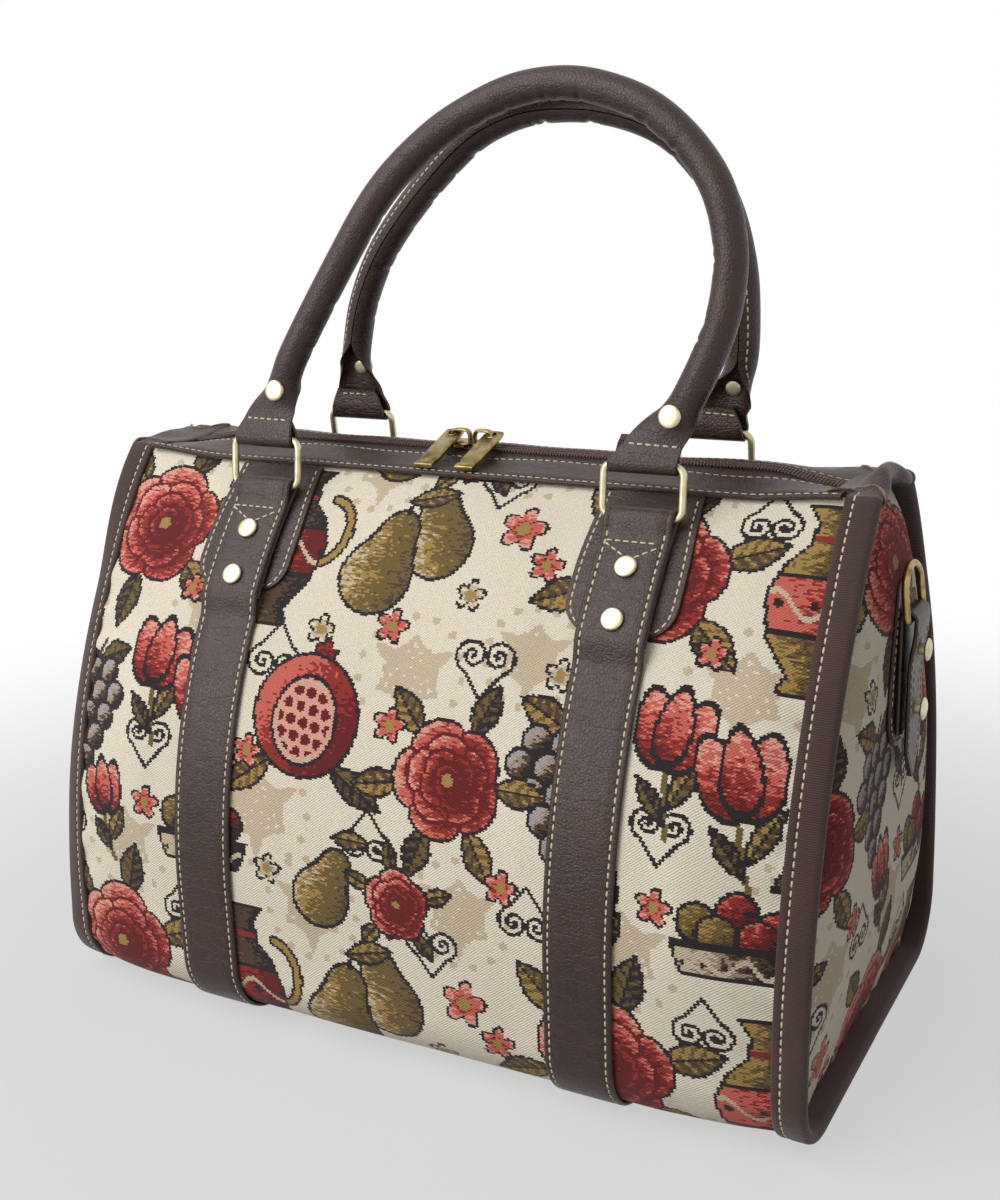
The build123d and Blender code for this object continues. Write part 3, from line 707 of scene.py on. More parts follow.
@dataclass
class Cartoon:
    """The weaver's drawing: one repeat of flowers, fruit and vessels, with a yarn for each cell."""

    columns: int = 196
    rows: int = 254
    wide: float = 1.35
    tall: float = 0.85
    line: float = 1.7
    seed: int = 7
    order: list[Yarn] = field(default_factory=lambda: list(Yarn))

    def __post_init__(self) -> None:
        """Draw the repeat."""
        rng = np.random.default_rng(self.seed)
        speck = rng.random((self.rows, self.columns))
        self.speck = (speck + np.roll(speck, 1, axis=1)) / 2
        self.cells = np.zeros((self.rows, self.columns), dtype=int)
        self._draw()

    def colours(self, rows: Array, columns: Array) -> Array:
        """Yarn colours of cells, with the share by which the yarn stands up as a fourth value."""
        table = np.array([tint(*yarn.value) for yarn in self.order])
        table[:, 3] = [0.0 if yarn is Yarn.GROUND else 1.0 for yarn in self.order]
        return table[self.cells[rows % self.rows, columns % self.columns]]

    def spot(self, x: float, y: float, reach: float, turn: float = 0.0) -> Cells:
        """Cells round a place.

        Args:
            x: place along the cloth, in millimetres.
            y: place down the cloth.
            reach: how far the cells go from it.
            turn: degrees by which the motif is turned.

        Returns:
            Rows and columns of the cells, and their places in the motif's own axes.
        """
        across = np.arange(-int(reach / self.wide) - 1, int(reach / self.wide) + 2)
        down = np.arange(-int(reach / self.tall) - 1, int(reach / self.tall) + 2)
        columns, rows = np.meshgrid(across + round(x / self.wide), down + round(y / self.tall))
        dx = columns * self.wide - x
        dy = y - rows * self.tall
        cosine, sine = heading(turn)
        u, v = dx * cosine + dy * sine, dy * cosine - dx * sine
        return Cells(rows % self.rows, columns % self.columns, u, v)

    def fill(self, cells: Cells, mask: Array, yarn: Yarn) -> None:
        """Weave a yarn into the cells of a mask."""
        self.cells[cells.rows[mask], cells.columns[mask]] = self.order.index(yarn)

    def shade(self, cells: Cells, mask: Array, tone: Array, yarns: Sequence[Yarn]) -> None:
        """Weave several yarns by tone, their borders broken up as threads do."""
        speck = self.speck[cells.rows, cells.columns] - 0.5
        number = np.clip((tone + speck * 0.6) * len(yarns), 0, len(yarns) - 1).astype(int)
        for i, yarn in enumerate(yarns):
            self.fill(cells, mask & (number == i), yarn)

    def body(
        self, cells: Cells, distance: Array, tone: Array, yarns: Sequence[Yarn], rim: Yarn = Yarn.INK
    ) -> None:
        """Weave a shaded shape with a dark line round it, from the distance to its edge."""
        self.shade(cells, distance < 0, tone, yarns)
        self.fill(cells, np.abs(distance + self.line / 2) < self.line / 2, rim)

    def stroke(self, points: Array, width: float, yarn: Yarn) -> None:
        """Weave a line through points, given along and down the cloth."""
        middle = points.mean(axis=0)
        reach = np.abs(points - middle).max() + width + self.wide
        cells = self.spot(middle[0], middle[1], reach)
        px, py = cells.u + middle[0], middle[1] - cells.v
        nearest = np.full(px.shape, np.inf)
        for (ax, ay), (bx, by) in zip(points, points[1:]):
            length = max((bx - ax) ** 2 + (by - ay) ** 2, 1e-9)
            share = np.clip(((px - ax) * (bx - ax) + (py - ay) * (by - ay)) / length, 0, 1)
            nearest = np.minimum(nearest, np.hypot(px - ax - share * (bx - ax), py - ay - share * (by - ay)))
        self.fill(cells, nearest < width / 2, yarn)

    def leaf(self, x: float, y: float, length: float, width: float, turn: float, dry: bool = False) -> None:
        """A pointed leaf that starts at a place."""
        cosine, sine = heading(turn)
        cells = self.spot(x + cosine * length / 2, y - sine * length / 2, length, turn)
        along = np.clip(np.abs(cells.u) / (length / 2), 0, 1.4)
        edge = width / 2 * (1 - along**1.7) + 0.6 * np.abs(np.sin(cells.u * 0.7))
        distance = np.where(along > 1, 9.0, np.abs(cells.v) - edge)
        yarns = (Yarn.INK, Yarn.BROWN, Yarn.OLIVE) if dry else (Yarn.BROWN, Yarn.OLIVE, Yarn.GOLD)
        veins = 0.3 * np.sin(cells.u * 1.2 - np.abs(cells.v) * 0.9)
        self.body(cells, distance, np.where(cells.v > 0, 0.75, 0.35) + veins, yarns)
        self.fill(cells, (np.abs(cells.v) < 0.6) & (distance < 0), Yarn.INK)

    def wreath(self, x: float, y: float, size: float, turns: Sequence[float]) -> None:
        """Leaves that stand out from behind a flower."""
        for number, turn in enumerate(turns):
            cosine, sine = heading(turn)
            px, py = x + 0.75 * size * cosine, y - 0.75 * size * sine
            self.leaf(px, py, size * 0.95, size * 0.48, turn, number % 3 == 1)

    def rose(self, x: float, y: float, size: float, turn: float) -> None:
        """An open rose of several rounds of petals."""
        cells = self.spot(x, y, size * 1.1, turn)
        radius = cells.radius()
        angle = np.arctan2(cells.v, cells.u)
        rounds = ((1.0, 5, 0.0), (0.76, 5, 0.7), (0.53, 4, 0.2), (0.3, 3, 1.1))
        for number, (share, petals, phase) in enumerate(rounds):
            lobes = np.abs(np.cos(petals * angle / 2 + phase))
            edge = size * share * (0.82 + 0.18 * lobes**0.6)
            light = 0.22 * (np.cos(angle - 2.2) - 0.4)
            tone = np.clip((radius / edge - 0.5) / 0.5, 0, 1) * 0.9 + light
            yarns = (Yarn.DEEP, Yarn.BRICK, Yarn.SALMON, Yarn.PINK)[: 4 if number < 2 else 3]
            self.body(cells, radius - edge, tone, yarns, Yarn.INK if number == 0 else Yarn.DEEP)
            self.fill(cells, (lobes < 0.12) & (radius < edge) & (radius > edge * 0.55), Yarn.DEEP)
        self.fill(cells, radius < size * 0.1, Yarn.GOLD)

    def daisy(self, x: float, y: float, size: float, yarns: Sequence[Yarn]) -> None:
        """A small flower."""
        cells = self.spot(x, y, size * 1.2, 10.0)
        radius = cells.radius()
        edge = size * (0.55 + 0.45 * np.abs(np.cos(2.5 * np.arctan2(cells.v, cells.u))))
        self.body(cells, radius - edge, radius / size, yarns)
        self.fill(cells, radius < size * 0.28, Yarn.GOLD)

    def tulip(self, x: float, y: float, size: float, turn: float) -> None:
        """A closed tulip on its stem."""
        rise = np.linspace(0, 1, 14)
        stem = joined(x + size * 0.012 * turn * rise + 5 * rise**2, y + size * (0.4 + 1.5 * rise))
        self.stroke(stem, 2.6, Yarn.OLIVE)
        self.leaf(stem[9, 0], stem[9, 1], size * 1.2, 10, 62)
        self.leaf(stem[11, 0], stem[11, 1], size * 1.05, 9, 128, True)
        for shift, tilt, wide in ((-0.3, 20, 0.44), (0.3, -20, 0.44), (0.0, 0, 0.37)):
            cells = self.spot(x, y, size * 1.4, turn + tilt)
            px, py = cells.u - shift * size, cells.v - size * 0.1
            taper = 1 - 0.32 * np.clip(py / size, -1, 1)
            distance = (np.hypot(px / (wide * size * taper), py / (size * 0.78)) - 1) * wide * size
            tone = 0.5 + 0.5 * py / size + 0.3 * px / size
            self.body(cells, distance, tone, (Yarn.DEEP, Yarn.BRICK, Yarn.SALMON, Yarn.PINK))

    def pear(self, x: float, y: float, size: float, turn: float) -> None:
        """A pear with its stalk and a leaf."""
        cells = self.spot(x, y, size * 1.5, turn)
        low = np.hypot(cells.u, cells.v + size * 0.32) - size * 0.68
        high = np.hypot(cells.u - size * 0.05, cells.v - size * 0.52) - size * 0.36
        soft = size * 0.5
        share = np.clip(0.5 + 0.5 * (high - low) / soft, 0, 1)
        distance = high * (1 - share) + low * share - soft * share * (1 - share)
        tone = 0.5 - 0.62 * cells.u / size
        self.body(cells, distance, tone, (Yarn.BROWN, Yarn.OLIVE, Yarn.OLIVE, Yarn.GOLD, Yarn.BEIGE))
        stalk = (np.abs(cells.u - 0.05 * cells.v) < 1.3) & (np.abs(cells.v - size) < size * 0.22)
        self.fill(cells, stalk, Yarn.INK)
        self.leaf(x + size * 0.1, y - size * 1.0, size * 0.95, size * 0.42, 25 + turn)

    def pomegranate(self, x: float, y: float, size: float, turn: float) -> None:
        """A pomegranate, cut open to its seeds."""
        self.leaf(x - size * 0.5, y + size * 0.7, size * 1.2, size * 0.5, 215)
        self.leaf(x + size * 0.5, y + size * 0.7, size * 1.2, size * 0.5, -30, True)
        cells = self.spot(x, y, size * 1.6, turn)
        radius = cells.radius()
        flare = np.abs(cells.u) - size * (0.18 + 0.3 * (cells.v / size - 0.9))
        crown = np.maximum(flare, np.abs(cells.v - size * 1.1) - size * 0.24)
        notch = np.where(cells.v > size * 1.15, size * 0.18 * np.abs(np.sin(cells.u * 9 / size)), 0)
        self.body(cells, crown + notch, cells.v / size - 0.6, (Yarn.DEEP, Yarn.BRICK))
        tone = 0.5 - 0.55 * cells.u / size + 0.3 * cells.v / size
        self.body(cells, radius - size, tone, (Yarn.DEEP, Yarn.BRICK, Yarn.BRICK, Yarn.SALMON))
        cut = (np.hypot(cells.u / 0.62, (cells.v + size * 0.08) / 0.74) - size) * 0.62
        self.body(cells, cut, radius / size, (Yarn.PINK, Yarn.PINK, Yarn.BEIGE))
        step = size * 0.24
        row = np.floor(cells.v / step)
        seed = np.hypot((cells.u / step + 0.5 * (row % 2)) % 1 - 0.5, (cells.v / step) % 1 - 0.5)
        self.fill(cells, (seed < 0.38) & (cut < -size * 0.14), Yarn.DEEP)

    def grapes(self, x: float, y: float, size: float) -> None:
        """A bunch of grapes under its leaves."""
        stalk = np.array([(x, y - size * 2.2), (x + 2, y - size * 3.4), (x + 7, y - size * 4.4)])
        self.stroke(stalk, 2.4, Yarn.BROWN)
        self.leaf(x + 2, y - size * 3.0, size * 3.8, size * 2.0, 155)
        self.leaf(x + 3, y - size * 3.0, size * 3.4, size * 1.8, 18, True)
        for row, count in enumerate((3, 4, 3, 2, 1)):
            for i in range(count):
                px = x + (i - (count - 1) / 2) * size * 1.75
                cells = self.spot(px, y + (row - 1.6) * size * 1.45, size * 1.3)
                tone = 0.5 + 0.55 * (cells.v - cells.u) / size
                yarns = (Yarn.INK, Yarn.BROWN, Yarn.TAUPE, Yarn.LILAC)
                self.body(cells, cells.radius() - size, tone, yarns)

    def vessel(
        self, x: float, y: float, size: float, profile: Sequence[Sequence[float]], band: Sequence[Yarn]
    ) -> None:
        """A turned vessel with a painted band.

        Args:
            x: its middle along the cloth.
            y: its middle down the cloth.
            size: half its height.
            profile: height and half width, as shares of the size.
            band: yarns of the band, dark to light.
        """
        cells = self.spot(x, y, size * 1.4)
        heights, widths = np.array(profile).T * size
        half = np.interp(cells.v, heights, widths)
        distance = np.maximum(np.abs(cells.u) - half, np.abs(cells.v) - heights.max())
        tone = 0.5 - 0.55 * cells.u / half
        self.body(cells, distance, tone, (Yarn.INK, Yarn.BROWN, Yarn.BROWN, Yarn.OLIVE, Yarn.GOLD))
        inside = distance < -self.line
        level = cells.v + size * 0.08
        self.fill(cells, inside & (np.abs(np.abs(level) - size * 0.3) < 1.0), Yarn.INK)
        belt = inside & (np.abs(level) < size * 0.27)
        self.shade(cells, belt, tone, band)
        wave = np.abs(level - size * 0.13 * np.sin(cells.u * 9 / size)) < 1.3
        self.fill(cells, belt & wave, Yarn.BEIGE)
        dots = np.hypot((cells.u + size) % (size * 0.35) - size * 0.17, level) < size * 0.05
        self.fill(cells, belt & dots, Yarn.INK)
        self.fill(cells, inside & (np.abs(cells.v - size * 0.62) < 1.6), Yarn.BRICK)

    def jug(self, x: float, y: float, size: float) -> None:
        """A jug with its ear."""
        bend = np.linspace(-1.9, 1.5, 16)
        out, rise = 0.5 + 0.34 * np.cos(bend), 0.2 + 0.42 * np.sin(bend)
        ear = joined(x + size * out, y - size * rise)
        self.stroke(ear, 6.0, Yarn.INK)
        self.stroke(ear, 3.0, Yarn.GOLD)
        belly = ((-1.0, 0.34), (-0.92, 0.36), (-0.8, 0.3), (-0.45, 0.55), (0.0, 0.64))
        neck = ((0.35, 0.5), (0.55, 0.3), (0.8, 0.27), (1.0, 0.4))
        self.vessel(x, y, size, belly + neck, (Yarn.DEEP, Yarn.BRICK, Yarn.SALMON))

    def bowl(self, x: float, y: float, size: float) -> None:
        """A wide bowl heaped with plums."""
        for shift, rise in ((-0.62, 0.62), (0.0, 0.86), (0.62, 0.62), (-0.3, 0.45), (0.34, 0.45)):
            cells = self.spot(x + shift * size, y - rise * size, size * 0.5)
            tone = 0.45 + 0.9 * (cells.v - cells.u) / size
            red, green = (Yarn.INK, Yarn.DEEP, Yarn.BRICK, Yarn.SALMON), (Yarn.BROWN, Yarn.OLIVE, Yarn.GOLD)
            yarns = red if shift >= 0 else green
            self.body(cells, cells.radius() - size * 0.36, tone, yarns)
        profile = ((-0.8, 0.45), (-0.72, 0.48), (-0.6, 0.3), (-0.4, 0.8), (0.0, 1.0), (0.3, 1.08))
        self.vessel(x, y, size, profile, (Yarn.INK, Yarn.BROWN, Yarn.TAUPE, Yarn.BEIGE))

    def scroll(self, x: float, y: float, size: float, turn: float, yarn: Yarn, width: float) -> None:
        """A pair of facing scrolls on a stem."""
        angle = np.linspace(0.4, 4.4 * math.pi, 60)
        radius = size * (angle / (4.4 * math.pi)) ** 1.2
        cosine, sine = heading(turn)
        for side in (-1, 1):
            px = np.append(side * (radius * np.cos(angle) + size * 0.72), [side * size * 0.5, 0])
            py = np.append(radius * np.sin(angle) * 0.9, [size * 1.5, size * 2.1])
            line = joined(x + px * cosine - py * sine, y - px * sine - py * cosine)
            self.stroke(line, width, yarn)

    def damask(self, x: float, y: float, size: float) -> None:
        """A pale ornament: a lily of scrolls, ringed with beads."""
        for turn in (0, 120, 240):
            self.scroll(x, y, size * 0.3, turn, Yarn.BEIGE, 2.6)
            cosine, sine = heading(turn + 30)
            cells = self.spot(x + 0.5 * size * cosine, y - 0.5 * size * sine, size * 0.6, turn + 30)
            half = size * 0.14 * (1 - np.clip(np.abs(cells.u) / (size * 0.42), 0, 1.2) ** 1.6)
            self.fill(cells, np.abs(cells.v) < half, Yarn.BEIGE)
        for turn in range(0, 360, 24):
            cosine, sine = heading(turn)
            cells = self.spot(x + size * cosine, y - size * sine, 4)
            self.fill(cells, cells.radius() < 1.9, Yarn.BEIGE)

    def _draw(self) -> None:
        """Lay out the repeat, the pale ornament first."""
        for x, y, size in (
            (88, 92, 25), (200, 104, 26), (258, 90, 22), (128, 176, 27), (48, 206, 26), (236, 206, 24),
            (158, 4, 24),
        ):
            self.damask(x, y, size)
        for x, y, size, turn in (
            (84, 20, 8, 0), (236, 92, 9, 180), (128, 108, 9, 0), (62, 150, 8, 180), (188, 184, 8, 0),
            (4, 204, 8, 0), (222, 6, 8, 180),
        ):
            self.scroll(x, y, size, turn, Yarn.INK, 1.7)
        self.wreath(40, 46, 34, (18, 75, 135, 200, 258, 318))
        self.rose(40, 46, 33, 12)
        self.jug(114, 50, 41)
        self.pear(196, 36, 26, 22)
        self.pear(172, 52, 29, -10)
        self.grapes(16, 142, 7.6)
        self.tulip(62, 112, 23, -8)
        self.tulip(92, 126, 25, 10)
        self.pomegranate(150, 130, 29, -10)
        self.wreath(226, 148, 29, (0, 65, 130, 190, 250, 300))
        self.rose(226, 148, 28, 40)
        self.bowl(96, 202, 25)
        self.pear(166, 206, 23, -24)
        self.tulip(32, 182, 19, 12)
        self.wreath(204, 208, 18, (20, 100, 160, 230, 310))
        self.rose(204, 208, 18, 20)
        warm = (Yarn.BRICK, Yarn.SALMON, Yarn.PINK)
        pale = (Yarn.TAUPE, Yarn.BEIGE, Yarn.GROUND)
        for x, y, size, yarns in (
            (238, 32, 12, warm), (254, 48, 9, warm), (150, 90, 8, pale), (194, 128, 9, warm),
            (120, 150, 9, warm), (186, 84, 9, warm), (8, 96, 8, pale), (62, 184, 9, warm),
            (256, 190, 9, warm), (134, 204, 8, pale), (72, 78, 8, warm), (222, 66, 8, pale),
        ):
            self.daisy(x, y, size, yarns)


@dataclass
class Shell:
    """Outer face of the sewn body, with the same sizes as the solids."""

    seam_half: float = 180.0
    height: float = 262.0
    top_half: float = 26.0
    seam_belly_half: float = 109.5
    seam_belly_height: float = 50.0
    middle_belly_half: float = 115.5
    middle_belly_height: float = 70.0
    corner: float = 30.0
    full_half: float = 128.0
    ground: float = 2.4
    strap_middle: float = 98.0
    swell_mm: float = 1.5
    pucker_mm: float = 0.7
    rise_mm: float = 3.0
    rise_from: float = 138.0
    rise_reach: float = 75.0
    top_tilt: float = 0.643
    end_hollow: float = 2.5

    def profile(self, x: Array) -> tuple[Array, ...]:
        """Half depth, belly height, side radius and its middle, top angle and side length along the bag."""
        taper = np.clip((np.abs(x) - self.full_half) / (self.seam_half - self.full_half), 0, 1)
        share = 1 - taper**2
        half = self.seam_belly_half + (self.middle_belly_half - self.seam_belly_half) * share
        belly = self.seam_belly_height + (self.middle_belly_height - self.seam_belly_height) * share
        rise = self.height - belly
        run = half - self.top_half
        radius = (run**2 + rise**2) / (2 * run)
        angle = np.arcsin(rise / radius)
        return half, belly, radius, half - radius, angle, radius * angle

    def length(self, x: Array) -> Array:
        """Length of cloth from the top edge to the flat of the bottom."""
        _, belly, _, _, _, side = self.profile(np.asarray(x, float))
        return side + belly - self.ground - self.corner + self.corner * math.pi / 2

    def down_to(self, height: float) -> float:
        """Length of cloth from the top edge to a height on the side, between the straps."""
        _, belly, radius, _, angle, _ = self.profile(np.zeros(1))
        return float((radius * (angle - np.arcsin((height - belly) / radius)))[0])

    def near_end(self, x: Array) -> Array:
        """Share from 0 along the zip to 1 at its ends."""
        return ease(np.abs(x), self.rise_from, self.seam_half)

    def rise(self, x: Array) -> Array:
        """How far the top edge rises towards its ends."""
        return self.rise_mm * self.near_end(x)

    def edge(self, x: Array, side: float) -> Array:
        """Line along the top edge of the front or the back."""
        return joined(x, side * self.top_half, self.height + self.rise(x))

    def over_top(self, count: int) -> tuple[Array, Array]:
        """Line across the top at a seam, from the front edge to the back's, and its normals.

        Args:
            count: number of points.

        Returns:
            The places, with nothing along the bag, and the normals.
        """
        y = np.linspace(-self.top_half, self.top_half, count)
        z = self.height + self.rise_mm - self.end_hollow * (1 - (y / self.top_half) ** 2)
        tilt = self.top_tilt * np.sign(y) * ease(np.abs(y), 8, self.top_half)
        return joined(0.0, y, z), joined(0.0, tilt, np.sqrt(1 - tilt**2))

    def surface(self, x: Array, down: Array, lift: Array, side: float) -> tuple[Array, Array]:
        """Places on the shell.

        Args:
            x: along the bag.
            down: length of cloth from the top edge.
            lift: how far the place stands off the cloth.
            side: -1 for the front, 1 for the back.

        Returns:
            The places, and the outward normals there.
        """
        x, down, lift = np.broadcast_arrays(*(np.asarray(values, float) for values in (x, down, lift)))
        half, belly, radius, middle, top, side_length = self.profile(x)
        upright = side_length + belly - self.ground - self.corner
        round_end = upright + self.corner * math.pi / 2
        angle = np.where(down < side_length, top - down / radius, 0.0)
        turn = np.clip((down - upright) / self.corner, 0, math.pi / 2)
        on_side = down < upright
        angle = np.where(on_side, angle, -turn)
        ny, nz = np.cos(angle), np.sin(angle)
        y = np.where(on_side, middle + radius * ny, half - self.corner + self.corner * ny)
        z = np.where(on_side, belly + radius * nz, self.ground + self.corner + self.corner * nz)
        z = np.where(on_side & (down > side_length), belly - (down - side_length), z)
        y = y - np.maximum(down - round_end, 0)
        z = z + self.rise(x) * (1 - ease(down, 0, self.rise_reach))
        places = joined(x, side * (y + lift * ny), z + lift * nz)
        return places, joined(0.0, side * ny, nz)

    def softness(self, x: Array, down: Array, side: float) -> Array:
        """How far the filled cloth stands off its even shape: soft swells, and puckers at the bound seams."""
        length = self.length(x)
        free = ease(np.abs(np.abs(x) - self.strap_middle), 28, 46) * (1 - ease(np.abs(x), 160, 178))
        free = free * ease(down, 3, 26) * (1 - ease(down, length - 50, length - 6))
        phase = 1.3 if side < 0 else 4.1
        swell = np.sin(x / 37 + phase) * np.sin(down / 41 + 0.7 * phase)
        swell = swell + 0.6 * np.sin(x / 19 - down / 27 + phase)
        near = np.exp(-(self.seam_half - np.minimum(np.abs(x), self.seam_half)) / 8)
        pucker = np.sin(down / 3.1 + np.sin(down / 23 + phase) * 2) * near * ease(down, 6, 30)
        return self.swell_mm * swell * free + self.pucker_mm * (pucker - near)


@dataclass
class Thread:
    """Rows of stitches, gathered into one piece."""

    pitch: float = 3.9
    length: float = 2.9
    width: float = 0.8
    sides: int = 5
    draft: Draft = field(default_factory=Draft)

    def row(self, path: Array, normal: Array) -> None:
        """Sew along a path.

        Args:
            path: points on the surface.
            normal: outward normals there, or one for all.
        """
        along = lengths_along(path)
        count = int(along[-1] / self.pitch)
        if count < 1:
            return
        middles = self.pitch * (np.arange(count) + 0.5)
        place = at_lengths(middles, along, path)
        up = unit(at_lengths(middles, along, np.broadcast_to(normal, path.shape)))
        ahead = unit(at_lengths(middles + 0.5, along, path) - place)
        angles = np.linspace(0, 2 * math.pi, self.sides, endpoint=False)[:, None] + math.pi / 2
        spokes = np.cos(angles) * np.cross(up, ahead)[:, None] + 0.8 * np.sin(angles) * up[:, None]
        rings = []
        for share, size in ((-1.0, 0.3), (-0.62, 1.0), (0.62, 1.0), (1.0, 0.3)):
            sag = self.width * (0.1 - 0.42 * abs(share) ** 3)
            centre = place + ahead * self.length / 2 * share + up * sag
            rings.append(centre[:, None] + self.width / 2 * size * spokes)
        for stitch in np.stack(rings, axis=1):
            self.draft.close(self.draft.grid(stitch, round_columns=True), self.sides, len(rings))


@dataclass
class TapestryBody:
    """The sewn cloth: front, back, bottom and domed ends."""

    shell: Shell
    finishes: Finishes
    cartoon: Cartoon
    dome_height: float = 15.0
    dome_middle: float = 180.0
    dome_flat_share: float = 0.5
    dome_power: float = 1.9
    seam_inset: float = 4.0
    stagger_share: float = 0.42
    side_lap: float = 3.0
    bottom_lap: float = 2.0
    bottom_overlap: float = 0.6
    end_inset: float = 2.2
    end_reach: float = 112.0
    end_top: float = 264.0

    def weave(
        self,
        name: str,
        node: str,
        points: Array,
        cloth: tuple[Array, Array],
        cells: tuple[Array, Array],
        keep: Optional[Array] = None,
    ) -> None:
        """Make a panel and give each face its yarn.

        Args:
            name: of the piece.
            node: that it replaces.
            points: places, rows by columns.
            cloth: coordinates on the cloth, along and down.
            cells: row and column of the cartoon for each face.
            keep: which faces to keep.
        """
        draft = Draft()
        draft.grid(points, joined(*cloth), keep=keep)
        piece = draft.build(name, self.finishes.tapestry)
        colours = self.cartoon.colours(*cells).reshape(-1, 4)
        layer = piece.data.color_attributes.new("yarn", "FLOAT_COLOR", "CORNER")
        layer.data.foreach_set("color", np.repeat(colours, 4, axis=0).astype(np.float32).ravel())
        fit_piece(piece, "bag", "tapestry", node)

    def staggered(self, across: Array) -> Array:
        """Rows of cells moved in turn by part of a cell, as threads lie in a twill."""
        moved = across.copy()
        moved[1::2, 1:-1] += self.stagger_share * self.cartoon.wide
        return moved

    def side(self, name: str, side: float, shift: tuple[int, int]) -> None:
        """Front or back panel.

        Args:
            name: front or back.
            side: -1 for the front, 1 for the back.
            shift: cells by which the pattern is moved, down and along.
        """
        reach = self.shell.seam_half + self.side_lap
        columns = int(2 * reach / self.cartoon.wide)
        rows = int(self.shell.length(np.zeros(1))[0] / self.cartoon.tall)
        x = np.linspace(-reach, reach, columns + 1)
        down = np.linspace(0, 1, rows + 1)[:, None] * self.shell.length(x)[None]
        xs = self.staggered(np.broadcast_to(x, down.shape))
        points, _ = self.shell.surface(xs, down, self.shell.softness(xs, down, side), side)
        row, column = np.indices((rows, columns))
        column = column if side < 0 else columns - 1 - column
        cells = row + shift[0], column + shift[1]
        self.weave(f"{name}_tapestry", f"{name}_panel", points, (-side * xs, down), cells)

    def bottom(self) -> None:
        """Flat bottom between the round edges."""
        reach = self.shell.seam_half + self.bottom_lap
        x = np.linspace(-reach, reach, int(self.shell.seam_half / self.cartoon.wide) + 1)
        half = self.shell.profile(x)[0] - self.shell.corner + self.bottom_overlap
        rows = int(half.max() / self.cartoon.tall)
        y = np.linspace(-1, 1, rows + 1)[:, None] * half[None]
        xs = np.broadcast_to(x, y.shape)
        points = joined(xs, y, self.shell.ground)
        row, column = np.indices((rows, len(x) - 1))
        self.weave("bottom_tapestry", "bottom_panel", points, (xs, y), (2 * row + 60, 2 * column))

    def outline(self) -> Array:
        """Outline of the end seam, across and up, from the back's top edge round to the front's."""
        ends = np.full(1, self.shell.seam_half)
        total = float(self.shell.length(ends)[0]) + self.shell.seam_belly_half - self.shell.corner
        down = np.linspace(0, total, 160)
        back, _ = self.shell.surface(ends, down, np.full(down.shape, -self.end_inset), 1.0)
        half = back[:, 1:]
        return np.vstack([half, (half * (-1, 1))[::-1]])

    def end(self, name: str, end: float, shift: tuple[int, int]) -> None:
        """Domed end panel.

        Args:
            name: left or right.
            end: -1 for the left, 1 for the right.
            shift: cells by which the pattern is moved, down and along.
        """
        y = np.arange(-self.end_reach, self.end_reach + self.cartoon.wide, self.cartoon.wide)
        ys, zs = np.meshgrid(y, np.arange(self.end_top, 0, -self.cartoon.tall))
        ys = self.staggered(ys)
        up = zs - self.dome_middle
        angle = np.arctan2(up, ys)
        edge_y, edge_up = (self.outline() - (0, self.dome_middle)).T
        edge_angle = np.arctan2(edge_up, edge_y)
        order = np.argsort(edge_angle)
        edge_reach = np.hypot(edge_y, edge_up)
        share = np.hypot(ys, up) / np.interp(angle, edge_angle[order], edge_reach[order], period=2 * math.pi)
        slope = np.clip((share - self.dome_flat_share) / (1 - self.dome_flat_share), 0, 1)
        rise = self.dome_height * (1 - slope**self.dome_power)
        swell = 0.9 * np.sin(ys / 23 + end) * np.sin(zs / 31)
        swell = swell * ease(1 - share, 0.02, 0.2) * ease(share, 0.3, 0.5)
        pucker = 0.6 * np.sin(angle * 60) * ease(share, 0.86, 1.0)
        x = end * (self.shell.seam_half + self.seam_inset + rise + swell + pucker)
        inside = share < 1.02
        keep = inside[:-1, :-1] & inside[1:, :-1] & inside[:-1, 1:] & inside[1:, 1:]
        row, column = np.nonzero(keep)
        column = column if end > 0 else keep.shape[1] - 1 - column
        cells = row + shift[0], column + shift[1]
        points = joined(x, ys, zs)
        self.weave(f"{name}_end_tapestry", f"{name}_end_panel", points, (end * ys, -zs), cells, keep)

    def make(self) -> None:
        """Build every cloth piece."""
        self.side("front", -1.0, (6, 10))
        self.side("back", 1.0, (40, 120))
        self.bottom()
        self.end("left", -1.0, (90, 30))
        self.end("right", 1.0, (20, 150))


